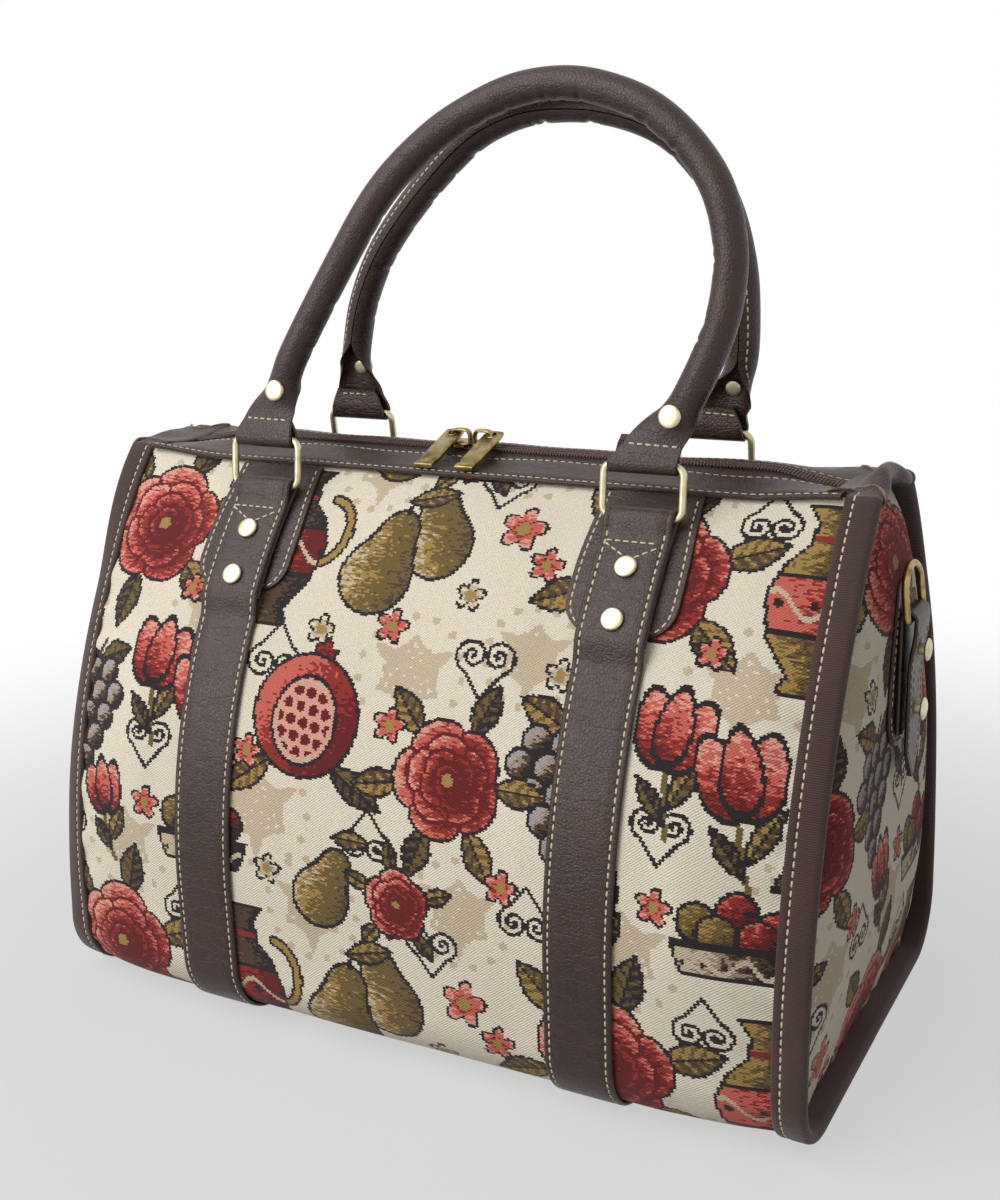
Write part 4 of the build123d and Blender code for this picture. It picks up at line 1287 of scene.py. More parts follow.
@dataclass
class Bindings:
    """Ribbed tape folded over the raised end seams."""

    shell: Shell
    finishes: Finishes
    thread: Thread
    stitch_inset: float = 5.0
    stitch_lift: float = 1.1
    sway: float = 2.5
    sway_length: float = 31.0
    left_lean: float = 26.0
    right_lean: float = 3.0
    back_lean: float = 6.0
    front_from: float = -0.001
    top_leans: tuple[float, float] = (10.0, 44.0)
    turn_length: float = 22.0
    tape_stop: float = 11.0

    def section(self) -> Array:
        """Section of the folded tape: distance along the seam's width, and off the cloth."""
        outer = [(1.0, -0.3), (1.1, 0.8), (1.8, 1.2), (3.6, 1.35), (4.5, 1.15), (5.0, 0.85)]
        outer += [(5.5, 1.15), (6.8, 1.45), (9.5, 1.6)]
        bend = np.linspace(math.pi / 2, -math.pi / 2, 11)
        fold = [(13.0 + 3.0 * math.cos(a), -1.4 + 3.0 * math.sin(a)) for a in bend]
        inner = [(10, -4.4), (7, -4.3), (5.0, -4.1), (4.5, -3.4), (4.5, -2.0)]
        return np.array(outer + fold + inner)

    def make(self, name: str, end: float) -> None:
        """Bind one end.

        Args:
            name: left or right.
            end: -1 for the left, 1 for the right.
        """
        seam = np.full(1, self.shell.seam_half)
        half_length = float(self.shell.length(seam)[0]) + self.shell.seam_belly_half - self.shell.corner
        down = np.linspace(0, half_length, 130)
        back, back_normal = self.shell.surface(seam, down, np.zeros(1), 1.0)
        front, front_normal = self.shell.surface(seam, down, np.zeros(1), -1.0)
        top, top_normal = self.shell.over_top(53)
        first, last = top[:, 1] > self.tape_stop, top[:, 1] < -self.tape_stop
        first[-1], last[0] = False, False
        path = np.vstack([top[first], back, front[::-1][1:], top[last]])
        normal = np.vstack([top_normal[first], back_normal, front_normal[::-1][1:], top_normal[last]])
        path[:, 0] = 0
        along = lengths_along(path)
        front_lean = self.left_lean if end < 0 else self.right_lean
        top_lean = self.top_leans[0] if end < 0 else self.top_leans[1]
        corners = along[int(first.sum())], along[-1 - int(last.sum())]
        to_top = np.minimum(along - corners[0], corners[1] - along)
        held = ease(to_top, 8, 80) * (1 - 0.75 * ease(to_top, 190, 290))
        lean = np.where(path[:, 1] < self.front_from, front_lean, self.back_lean) * held
        lean = lean + self.sway * np.sin(along / self.sway_length + end) * held
        lean = np.radians(lean - top_lean * ease(-to_top, 0, self.turn_length))
        section = self.section()
        cosine, sine = np.cos(lean)[:, None], np.sin(lean)[:, None]
        wide = section[None, :, 0] * cosine + section[None, :, 1] * sine
        tall = section[None, :, 1] * cosine - section[None, :, 0] * sine
        across = np.broadcast_to(end * X_AXIS, path.shape)
        places = path + np.array((end * self.shell.seam_half, 0, 0))
        cloth = joined(section[None, :, 0], along[:, None])
        draft = Draft()
        draft.sweep(places, across, normal, joined(wide, tall), cloth=cloth)
        piece = draft.build(f"{name}_seam_binding", self.finishes.grosgrain, 60)
        fit_piece(piece, "bag", "grosgrain", f"{name}_binding")
        inset, lift = self.stitch_inset, self.stitch_lift
        row = places + across * (inset * cosine + lift * sine) + normal * (lift * cosine - inset * sine)
        self.thread.row(row, unit(normal + across * sine))


@dataclass
class ZipTop:
    """Leather bands, woven tapes and the coil along the top, with leather rolled over the ends."""

    shell: Shell
    finishes: Finishes
    thread: Thread
    zip_height: float = 267.0
    zip_gap: float = 13.0
    band_lap: float = 4.0
    band_half: float = 179.8
    tape_half: float = 179.5
    tape_width: float = 13.0
    tape_thickness: float = 0.75
    coil_half: int = 178
    coil_base: float = 268.7
    tooth_pitch: float = 1.55
    roll_share: float = 0.17
    roll_fade: tuple[float, float] = (130.0, 172.0)
    dip_mm: float = 9.0
    cap_reach: float = 3.0
    cap_leans: tuple[float, float] = (math.radians(10.0), math.radians(44.0))
    turn_length: float = 22.0
    cap_arch: float = 12.0

    def dip(self, x: Array) -> Array:
        """How far the zip drops towards its ends, against the edges beside it."""
        return self.dip_mm * self.shell.near_end(x)

    def roll(self, x: Array, y: Array) -> Array:
        """How far the top is rolled towards the front between its ends, as a change of height."""
        rolled = self.roll_share * y * np.maximum(1 - (y / self.shell.top_half) ** 2, 0)
        return rolled * (1 - ease(np.abs(x), *self.roll_fade))

    def slope(self) -> tuple[Array, Array, float]:
        """Direction up a band, its normal and its length, for the back."""
        run = np.array((0.0, self.zip_gap / 2 - self.shell.top_half, self.zip_height - self.shell.height))
        length = float(np.linalg.norm(run))
        run = run / length
        return run, np.array((0.0, run[2], -run[1])), length

    def lift(self, x: Array, side: float, place: Array, wave: Array) -> Array:
        """How far a strip stands off its plain slope.

        Args:
            x: places along the bag.
            side: -1 for the front, 1 for the back.
            place: length up the slope.
            wave: unevenness along the bag.

        Returns:
            Heights over the slope.
        """
        run, _, high = self.slope()
        swing = wave * ease(place, -self.band_lap, 4.0)
        drop = self.dip(x) * np.clip(place / high, 0, 1.4)
        return swing - drop + self.roll(x, side * (self.shell.top_half + place * run[1]))

    def ribbon(self, side: float, x: Array, section: Array, wave: Array) -> Draft:
        """A strip along the zip.

        Args:
            side: -1 for the front, 1 for the back.
            x: places along the bag.
            section: length up the slope and height over it.
            wave: unevenness along the bag.

        Returns:
            The strip in the making.
        """
        run, normal, _ = self.slope()
        flip = np.array((1.0, side, 1.0))
        base = self.shell.edge(x, side)
        sections = np.repeat(section[None], len(x), axis=0)
        sections[:, :, 1] += self.lift(x[:, None], side, section[None, :, 0], wave[:, None])
        cloth = joined(section[None, :, 0], x[:, None])
        up, out = np.broadcast_to(run * flip, base.shape), np.broadcast_to(normal * flip, base.shape)
        draft = Draft()
        draft.sweep(base, up, out, sections, cloth=cloth)
        return draft

    def bands(self) -> None:
        """The two bands, each with two rows of stitches."""
        run, normal, high = self.slope()
        low = -self.band_lap
        x = np.linspace(-self.band_half, self.band_half, 170)
        hem = [(0, 0.2), (0.1, 1.6), (0.7, 2.1), (1.6, 2.15), (2.3, 1.75), (3.1, 2.2)]
        lip = [(-3.2, 2.3), (-2.4, 1.85), (-1.6, 2.2), (-0.6, 2.0), (0, 1.4), (0, 0.6), (-0.5, 0.2)]
        section = [(low + a, b) for a, b in hem] + [(3, 2.4), (high / 2, 2.5)]
        section += [(high + a, b) for a, b in lip]
        for name, side in SIDES:
            wave = 0.45 * np.sin(x / 23 + side) + 0.3 * np.sin(x / 9.5 + 2 * side)
            draft = self.ribbon(side, x, np.array(section), wave)
            piece = draft.build(f"{name}_zip_leather", self.finishes.leather)
            fit_piece(piece, "bag", "leather", f"{name}_zip_band")
            flip = np.array((1.0, side, 1.0))
            for place, height in ((low + 2.3, 1.95), (high - 2.4, 2.0)):
                rise = height + self.lift(x, side, np.array(place), wave)
                path = self.shell.edge(x, side) + place * run * flip + rise[:, None] * normal * flip
                self.thread.row(path, normal * flip)

    def tapes(self) -> None:
        """The woven tapes that carry the coil."""
        run, _, _ = self.slope()
        x = np.linspace(-self.tape_half, self.tape_half, 90)
        high = (self.shell.top_half - 0.6) / -run[1]
        low, under = high - self.tape_width, -self.tape_thickness
        section = np.array([(low, under), (low, 0.0), (high - 6, 0.05), (high, 0.0), (high, under)])
        for name, side in SIDES:
            draft = self.ribbon(side, x, section, np.zeros(len(x)))
            piece = draft.build(f"{name}_zip_weave", self.finishes.tape)
            fit_piece(piece, "bag", "zip_tape", f"{name}_zip_tape")

    def coil(self) -> None:
        """The closed coil: two rows of nylon ribs that mesh in the middle."""
        teeth = Thread(pitch=1.0, length=3.0, width=1.3)
        lean = np.array((0.0, 1.0, self.roll_share))
        for side in (-1.0, 1.0):
            places = np.arange(-self.coil_half, self.coil_half, self.tooth_pitch)
            for place in places + (0.4 if side > 0 else 0.0):
                height = self.coil_base + 1.1 + float(self.shell.rise(place) - self.dip(place))
                middle = np.array((place, 0.0, height)) + side * 1.5 * lean
                path = np.stack([middle - 0.5 * lean, middle + 0.5 * lean])
                teeth.row(path, np.array((0.0, -self.roll_share, 1.0)))
        fit_piece(teeth.draft.build("zip_coil_ribs", self.finishes.coil, 70), "bag", "zip_coil", "zip_coil")

    def cap_section(self) -> Array:
        """Section of the leather over a seam's end: length outwards, and height over the cloth."""
        bend = np.linspace(math.pi / 2, -math.pi / 2, 9)
        fold = [(13.4 + 3.6 * math.cos(a), -1.3 + 3.6 * math.sin(a)) for a in bend]
        inner = [(-7.2, 0.6), (-7.5, 1.5), (-7.0, 2.3), (-4, 2.8), (-1, 2.9)]
        outer = [(2, 2.6), (5, 2.4), (8, 2.3), (11, 2.3)]
        return np.array(inner + outer + fold + [(10, -4.9), (5.2, -4.7), (4.6, -3.6), (4.6, -2.0)])

    def cap_points(self, end: float) -> Array:
        """Rings of the leather over a seam's end, from the front edge to the back's.

        Args:
            end: -1 for the left, 1 for the right.

        Returns:
            The places, by ring and by point of the section.
        """
        out, off = self.cap_section().T[:, None]
        reaches = np.array((self.cap_reach, self.cap_reach / 2))
        corner, _ = self.shell.surface(np.full(2, self.shell.seam_half), reaches, np.zeros(2), -1.0)
        corner[:, 0] = 0
        top, _ = self.shell.over_top(9)
        path = smooth_line(np.vstack([corner, top, (corner * (1, -1, 1))[::-1]]), 96)
        ahead = unit(np.gradient(path, axis=0))
        along = lengths_along(path)
        to_edge = np.minimum(along, along[-1] - along)[:, None]
        arch = self.cap_arch * (0.25 + 0.75 * ease(out, -7, 6)) * (1 - 0.5 * ease(out, 10, 17))
        under = 0.5 * self.cap_arch * (1 + 0.8 * ease(off, -4.8, -2) * (out < 6))
        arch = np.where(off < -1.3, under, arch) * (1 - ease(to_edge, 0, 24))
        place = along[:, None] + np.where(along < along[-1] / 2, 1.0, -1.0)[:, None] * arch
        lines = (path[:, 1], path[:, 2], ahead[:, 1], ahead[:, 2])
        y, z, run_y, run_z = (np.interp(place, along, line) for line in lines)
        turn = ease(np.minimum(place, along[-1] - place) - self.cap_reach, 0, self.turn_length)
        lean = self.cap_leans[0 if end < 0 else 1] * turn * ease(out, -5, 5)
        off = off + 0.3 * np.sin(place / 3.7) * (out > 4)
        wide, tall = out * np.cos(lean) - off * np.sin(lean), off * np.cos(lean) + out * np.sin(lean)
        return joined(end * (self.shell.seam_half + wide), y - tall * run_z, z + tall * run_y)

    def caps(self) -> None:
        """Leather rolled over the seams where the zip ends, with raw edges across the bindings."""
        for name, end in ENDS:
            points = self.cap_points(end)
            rings, size = points.shape[:2]
            draft = Draft()
            draft.close(draft.grid(points, round_columns=True), size, rings)
            piece = draft.build(f"{name}_zip_saddle", self.finishes.leather, 55)
            fit_piece(piece, "bag", "leather", f"{name}_zip_end")
            trim = Draft()
            for number in (0, rings - 1):
                trim.tube(smooth_line(points[number, 1:21], 44), 0.65, 6)
            fit_piece(trim.build(f"{name}_saddle_edge", self.finishes.edge, 60), "bag", "leather")

    def make(self) -> None:
        """Build everything along the zip."""
        self.bands()
        self.tapes()
        self.coil()
        self.caps()


RIVET_PROFILE = (
    (4.6, -0.4), (5.0, 0.0), (5.1, 0.4), (5.05, 1.05), (4.75, 1.5), (4.2, 1.72), (2.8, 1.85), (1.0, 1.9),
)


@dataclass
class Straps:
    """The straps with their patches, rings and rivets."""

    shell: Shell
    finishes: Finishes
    thread: Thread
    half_width: float = 16.0
    thickness: float = 2.2
    fit: float = 0.2
    patch_thickness: float = 1.6
    fold_height: float = 206.0
    loop_height: float = 249.0
    patch_bottom: float = 209.0
    patch_top: float = 259.6
    patch_half_width: float = 26.0
    patch_corner: float = 14.0
    rivet_heights: tuple[float, float] = (231.6, 213.1)
    ring_wire: float = 1.7
    wire_clear: float = 0.4
    ring_half: float = 18.4
    ring_corner: float = 4.5
    loop_axis: tuple[float, float] = (44.7346, 253.4983)
    upper_axis: tuple[float, float] = (41.9926, 275.8306)
    stitch_inset: float = 2.8

    def doubled(self) -> float:
        """Height of the doubled strap, on its patch, over the cloth."""
        return 2 * self.fit + self.patch_thickness + 2 * self.thickness

    def half_path(self) -> tuple[Array, int]:
        """Middle line of the strap from under the bottom, round the back ring to its turned-in end.

        Returns:
            Places at x = 0, and how many lie before the ring.
        """
        shell = self.shell
        fold, loop = shell.down_to(self.fold_height), shell.down_to(self.loop_height)
        bottom = float(shell.length(np.zeros(1))[0]) + shell.middle_belly_half - shell.corner
        base = self.fit + self.thickness / 2
        ply = 2 * self.fit + self.patch_thickness
        low = np.linspace(bottom, fold + 13, 120)
        step = np.linspace(fold + 12, fold - 2, 12)
        flat = np.linspace(fold - 4, loop + 12, 14)
        swing = np.linspace(loop + 11, loop, 9)
        turn = np.linspace(0, math.pi, 16)[1:]
        back = np.linspace(loop + 1.5, fold + 1, 16)
        doubled = ply + 1.5 * self.thickness
        reach = self.ring_wire + self.wire_clear + self.thickness / 2
        axis = ply + self.ring_wire + self.wire_clear + self.thickness
        down = np.concatenate([low, step, flat, swing, loop - reach * np.sin(turn), back])
        lift = np.concatenate([
            np.full(low.shape, base),
            base + (doubled - base) * ease(-step, -fold - 12, -fold + 2),
            np.full(flat.shape, doubled),
            doubled + (axis + reach - doubled) * ease(-swing, -loop - 11, -loop),
            axis + reach * np.cos(turn),
            np.full(back.shape, ply + self.thickness / 2),
        ])
        places, _ = shell.surface(np.zeros(1), down, lift, 1.0)
        return places, len(low) + len(step) + len(flat) + len(swing)

    def section(self) -> Array:
        """Section of a strap with rounded edges and sunk stitch lines."""
        w, h, s = self.half_width, self.thickness / 2, self.half_width - self.stitch_inset
        right = [(0, h), (8, h), (s - 0.9, h - 0.05), (s, h - 0.4), (s + 0.9, h - 0.05), (w - 0.9, h - 0.15)]
        right += [(w - 0.25, h - 0.5), (w, 0), (w - 0.25, 0.5 - h), (w - 0.9, -h), (8, -h), (0, -h)]
        left = [(-a, b) for a, b in right[::-1][1:-1]]
        return np.array(right + left)

    def strap(self, name: str, x: float) -> None:
        """One strap with its stitching.

        Args:
            name: left or right.
            x: its middle along the bag.
        """
        half, before = self.half_path()
        front = half * (1, -1, 1)
        path = np.vstack([front[::-1], half[1:]])
        path[:, 0] = x
        ahead = unit(np.gradient(path, axis=0))
        normal = joined(0.0, ahead[:, 2], -ahead[:, 1])
        across = np.broadcast_to(X_AXIS, path.shape)
        draft = Draft()
        draft.sweep(path, across, normal, self.section())
        piece = draft.build(f"{name}_leather_strap", self.finishes.leather)
        fit_piece(piece, "bag", "leather", f"{name}_strap")
        middle = len(half) - 1
        outer = slice(middle - before + 6, middle + before - 5)
        inset = self.half_width - self.stitch_inset
        for place in (-inset, inset):
            self.thread.row(path[outer] + place * across[outer] + 0.8 * normal[outer], normal[outer])
        for side in (-1.0, 1.0):
            self.fold_rows(x, side, inset)

    def fold_rows(self, x: float, side: float, inset: float) -> None:
        """Stitch lines that close the loop: one across, and a V down to the first rivet."""
        loop = self.shell.down_to(self.loop_height)
        lift = self.doubled() + 0.1
        share = np.linspace(0, 1, 12)
        rows = ((-inset, 12.0, inset, 12.0), (-inset, 13.0, -1.5, 19.5), (1.5, 19.5, inset, 13.0))
        for x0, d0, x1, d1 in rows:
            down = loop + d0 + (d1 - d0) * share
            path, normal = self.shell.surface(0.0, down, lift + 0.05, side)
            path[:, 0] = x + x0 + (x1 - x0) * share
            self.thread.row(path, normal)

    def patch(self, name: str, x: float, side: float) -> None:
        """Leather patch with round lower corners behind the strap's upper end.

        Args:
            name: of the node.
            x: its middle along the bag.
            side: -1 for the front, 1 for the back.
        """
        bottom, top = self.shell.down_to(self.patch_bottom), self.shell.down_to(self.patch_top)
        round_part = self.patch_corner * (1 - np.cos(np.linspace(0, math.pi / 2, 10)))
        rise = np.concatenate([round_part, np.linspace(16, bottom - top, 14)])
        lower = np.clip(rise / self.patch_corner, 0, 1)
        half = self.patch_half_width - self.patch_corner + self.patch_corner * np.sqrt(1 - (1 - lower) ** 2)
        half = half - 2.5 * ease(rise, 26, bottom - top)
        places, normal = self.shell.surface(np.zeros(1), bottom - rise, np.zeros(1), side)
        places[:, 0] = x
        full = self.fit + self.patch_thickness
        rim = [(1.0, 0.1), (0.995, 0.6), (0.985, 0.9), (0.95, 1.0)]
        right = np.array(rim + [(0.9, 0.88), (0.86, 1.03), (0.5, 1.05), (0.0, 1.05)])
        ring = np.vstack([right, (right * (-1, 1))[::-1][1:], [(-0.98, 0.05), (0.98, 0.05)]])
        thin = 0.35 + 0.65 * ease(rise, 0, 1.2)
        deep = (full * thin)[:, None]
        sections = joined(ring[None, :, 0] * half[:, None], ring[None, :, 1] * deep)
        across = np.broadcast_to(X_AXIS, places.shape)
        draft = Draft()
        draft.sweep(places, across, normal, sections)
        fit_piece(draft.build(f"{name}_leather", self.finishes.leather), "bag", "leather", name)
        inset = self.stitch_inset
        u = np.concatenate([-half[::-1] + inset, half - inset])
        d = np.concatenate([(bottom - rise)[::-1], bottom - rise])
        low = np.abs(u) < self.patch_half_width - self.patch_corner
        d = np.minimum(d, bottom - inset)
        d = np.where(low, bottom - inset, d)
        path, out = self.shell.surface(0.0, d, full - 0.1, side)
        path[:, 0] = x + u
        path, out = resampled(path, 90, out)
        self.thread.row(path, out)

    def ring(self, name: str, x: float, side: float) -> None:
        """Rectangular ring of round wire.

        Args:
            name: of the node.
            x: its middle along the bag.
            side: -1 for the front, 1 for the back.
        """
        low, high = np.array(self.loop_axis), np.array(self.upper_axis)
        tall = float(np.linalg.norm(high - low))
        corners = []
        bend = np.linspace(0, math.pi / 2, 7)
        reach, inner = self.ring_half, self.ring_corner
        for turn, cx, cy in ((0, 1, 1), (1, -1, 1), (2, -1, -1), (3, 1, -1)):
            angles = bend + turn * math.pi / 2
            mx, my = cx * (reach - inner), tall / 2 + cy * (tall / 2 - inner)
            corners.append(joined(mx + inner * np.cos(angles), my + inner * np.sin(angles)))
        flat = np.vstack(corners)
        up = (high - low) / tall
        y, z = (start + flat[:, 1] * share for start, share in zip(low, up))
        path = joined(x + flat[:, 0], side * y, z)
        draft = Draft()
        draft.tube(path, self.ring_wire, 14, closed=True)
        fit_piece(draft.build(f"{name}_wire", self.finishes.pale_brass, 60), name, "pale_brass", name)

    def rivets(self, name: str, side: float) -> None:
        """The domed caps on one side's straps.

        Args:
            name: front or back.
            side: -1 for the front, 1 for the back.
        """
        draft = Draft()
        lift = self.doubled() + 0.25
        for x in (-self.shell.strap_middle, self.shell.strap_middle):
            for height in self.rivet_heights:
                place, normal = self.shell.surface(np.zeros(1), self.shell.down_to(height), lift, side)
                place[:, 0] = x
                draft.lathe(place[0], normal[0], RIVET_PROFILE)
        piece = draft.build(f"{name}_strap_rivet_caps", self.finishes.pale_brass, 60)
        fit_piece(piece, "bag", "pale_brass", f"{name}_strap_rivets")

    def make(self) -> None:
        """Build the straps and what is on them."""
        places = (("left", -self.shell.strap_middle), ("right", self.shell.strap_middle))
        for end, x in places:
            self.strap(end, x)
        for name, side in SIDES:
            for end, x in places:
                self.patch(f"{name}_{end}_patch", x, side)
                self.ring(f"{name}_{end}_ring", x, side)
            self.rivets(name, side)


@dataclass
class Handles:
    """Rolled leather handles: a blank that is flat at the tabs and closes into a tube along the grip."""

    finishes: Finishes
    axis: tuple[float, float] = (41.9926, 275.8306)
    lean: float = math.radians(11.976)
    tube: float = 7.3
    line_shift: float = 1.2
    thickness: float = 1.8
    tab_half: float = 15.8
    hem_half: float = 13.4
    hem: float = 11.0
    neck: float = 42.0
    closed_share: float = 0.988
    bar_clear: float = 2.1
    rivet_height: float = 24.0
    hem_stitch: float = 10.0
    creases: int = 34
    seeds: tuple[int, int] = (5, 9)
    rings: int = 280
    front_line: tuple[tuple[float, float], ...] = (
        (-98, 0), (-96.8, 8), (-93.5, 17), (-84.5, 38), (-60, 84), (-39.5, 116), (-16, 138), (7.5, 151),
        (29, 158), (51.6, 159), (73, 154), (91, 145.5), (108, 131), (121, 113), (128, 90), (127.5, 66),
        (121.5, 45), (112, 24), (102.5, 9), (98, 0),
    )
    back_line: tuple[tuple[float, float], ...] = (
        (-98, 0), (-97.2, 10), (-95, 22), (-91, 39), (-83, 60), (-68, 84), (-45, 109), (-15, 134), (6, 145),
        (29, 150), (58, 148.5), (84, 139), (101, 123), (110.5, 104), (115, 81), (115.5, 60), (113.5, 38),
        (108, 20), (100.5, 8), (98, 0),
    )

    def place(self, side: float, x: Array, up: Array, out: Array) -> Array:
        """Places from a handle's own axes: along the bag, up its plane, and away from the other handle."""
        y = self.axis[0] - np.sin(self.lean) * up + np.cos(self.lean) * out
        z = self.axis[1] + np.cos(self.lean) * up + np.sin(self.lean) * out
        return joined(x, side * y, z)

    def blank(self, along: Array) -> tuple[Array, Array, Array]:
        """Radius of the roll, how far it is closed, and how far its crown stands off the middle line.

        Args:
            along: distance from the ring bar.

        Returns:
            Radius, closed angle and stand-off at each distance.
        """
        half = self.tab_half - (self.tab_half - self.hem_half) * ease(along, 0, self.hem)
        half = half - (self.hem_half - self.tube) * ease(along, self.hem - 2, self.neck * 0.8)
        angle = 0.02 + 0.4 * ease(along, 2, self.hem + 4)
        angle = angle + (2 * math.pi * self.closed_share - 0.42) * ease(along, self.hem, self.neck)
        radius = half / np.sin(np.minimum(angle / 2, math.pi / 2))
        stand = 4.2 - 1.0 * ease(along, 2, self.hem) + (self.tube - 3.2) * ease(along, self.hem, self.neck)
        return radius, angle, stand

    def wrinkles(self, along: Array, share: Array, side: float) -> Array:
        """Depth of the creases across the roll, deepest where it bends inwards."""
        rng = np.random.default_rng(self.seeds[0 if side < 0 else 1])
        depth = np.zeros((len(along), len(share)))
        for _ in range(self.creases):
            place = rng.uniform(self.neck, along[-1] - self.neck)
            centre, reach = rng.uniform(0.25, 0.7), rng.uniform(0.15, 0.35)
            ridge = np.exp(-(((along - place) / rng.uniform(0.9, 1.8)) ** 2))
            spread = np.exp(-(((share - centre) / reach) ** 2))
            depth += rng.uniform(0.3, 0.95) * ridge[:, None] * spread[None]
        held = ease(np.minimum(along, along[-1] - along), self.neck - 8, self.neck + 6)[:, None]
        return depth * held + 0.2 * held * np.sin(along / 11.3)[:, None] * np.cos(share * 3)[None]

    def skin(self, name: str, side: float, line: Sequence[Sequence[float]], thread: Thread) -> None:
        """The rolled skin, its turned-back tabs and its stitching.

        Args:
            name: of the handle.
            side: -1 for the front, 1 for the back.
            line: middle line, along the bag and up the handle's plane.
            thread: that gathers the stitches.
        """
        path = smooth_line(line, self.rings)
        along = lengths_along(path)
        to_tab = np.minimum(along, along[-1] - along)
        radius, angle, stand = (values[:, None] for values in self.blank(to_tab))
        ahead = unit(np.gradient(path, axis=0))
        square = ease(to_tab, 6, 34)[:, None]
        upright = np.where(along < along[-1] / 2, 1.0, -1.0)[:, None] * np.array((0.0, 1.0))
        course = unit(upright * (1 - square) + ahead * square)
        across = joined(course[:, 1], -course[:, 0])
        path = path - across * (self.line_shift * ease(to_tab, self.hem, self.neck))[:, None]
        share = np.linspace(-1, 1, 37)
        curve = angle * share[None] / 2
        dents = self.wrinkles(along, share, side)

        def points(depth: float) -> Array:
            """Places at a depth under the outer face."""
            reach = radius - depth - dents
            flat = path[:, None] + (np.sin(curve) * reach)[..., None] * across[:, None]
            return self.place(side, flat[..., 0], flat[..., 1], stand - radius + np.cos(curve) * reach)

        outer = points(0.0)
        shell = np.concatenate([outer, points(self.thickness)[:, ::-1]], axis=1)
        draft = Draft()
        draft.close(draft.grid(shell, round_columns=True), shell.shape[1], len(path))
        for x in (path[0, 0], path[-1, 0]):
            self.tab(draft, side, x)
        fit_piece(draft.build(f"{name}_rolled_leather", self.finishes.leather, 50), name, "leather", name)
        middle = self.place(side, path[:, 0], path[:, 1], stand[:, 0] - np.minimum(radius[:, 0], 30))
        seam = to_tab > self.neck * 0.62
        thread.row(outer[seam, 3], unit(outer[seam, 3] - middle[seam]))
        out = unit(self.place(side, 0.0, 0.0, 1.0) - self.place(side, 0.0, 0.0, 0.0))
        for distance in (along, along[-1] - along):
            number = int(np.argmin(np.abs(distance - self.hem_stitch)))
            inner = points(self.thickness + 3.5)[number, 5:32]
            for edge, turn in ((outer[number, 2:35], 1.0), (inner, -1.0)):
                thread.row(edge, turn * out)

    def tab(self, draft: Draft, side: float, x: float) -> None:
        """The end of the blank, turned round a ring bar and up behind the tab."""
        mid = self.thickness / 2
        reach = self.bar_clear + mid
        turn = np.linspace(0, math.pi, 14)
        ups = np.concatenate([[3.0], -reach * np.sin(turn), [3.0, 6.0, 9.0, 11.5, 12.6]])
        outs = np.concatenate([[reach], reach * np.cos(turn), [-reach, -2.3, -1.2, -0.7, -0.6]])
        half = self.tab_half - (self.tab_half - self.hem_half + 0.3) * ease(ups, 0, self.hem)
        half = half - 1.6 * ease(ups, 8, 13)
        wide = np.array([-1, -0.98, 0.98, 1, 0.98, -0.98])
        thick = np.array([0, mid, mid, 0, -mid, -mid])
        sections = joined(wide[None] * half[:, None], thick[None])
        places = self.place(side, np.full(len(ups), x), ups, outs)
        across = np.broadcast_to(X_AXIS, places.shape)
        draft.sweep(places, across, np.cross(across, unit(np.gradient(places, axis=0))), sections)

    def rivets(self, name: str, side: float, line: Sequence[Sequence[float]]) -> None:
        """A cap on the outer face of each tab, and a smaller one inside the roll.

        Args:
            name: of the handle.
            side: -1 for the front, 1 for the back.
            line: middle line of the handle.
        """
        path = smooth_line(line, self.rings)
        along = lengths_along(path)
        stand = float(self.blank(np.array([self.rivet_height]))[2][0])
        draft = Draft()
        for distance in (self.rivet_height, along[-1] - self.rivet_height):
            x, up = (float(np.interp(distance, along, column)) for column in path.T)
            seat = self.place(side, x, up, stand - 0.25)
            out = seat - self.place(side, x, up, stand - 1.25)
            draft.lathe(seat, out, RIVET_PROFILE)
            small = [(0.8 * radius, 0.9 * height) for radius, height in RIVET_PROFILE]
            draft.lathe(self.place(side, x, up, stand - self.thickness - 0.3), -out, small)
        piece = draft.build(f"{name}_rivet_caps", self.finishes.pale_brass, 60)
        fit_piece(piece, name, "pale_brass", f"{name}_rivets")

    def make(self) -> None:
        """Build both handles."""
        for (place, side), line in zip(SIDES, (self.front_line, self.back_line)):
            name, thread = f"{place}_handle", Thread()
            self.skin(name, side, line, thread)
            self.rivets(name, side, line)
            fit_piece(thread.draft.build(f"{name}_stitches", self.finishes.thread, 70), name, "leather")


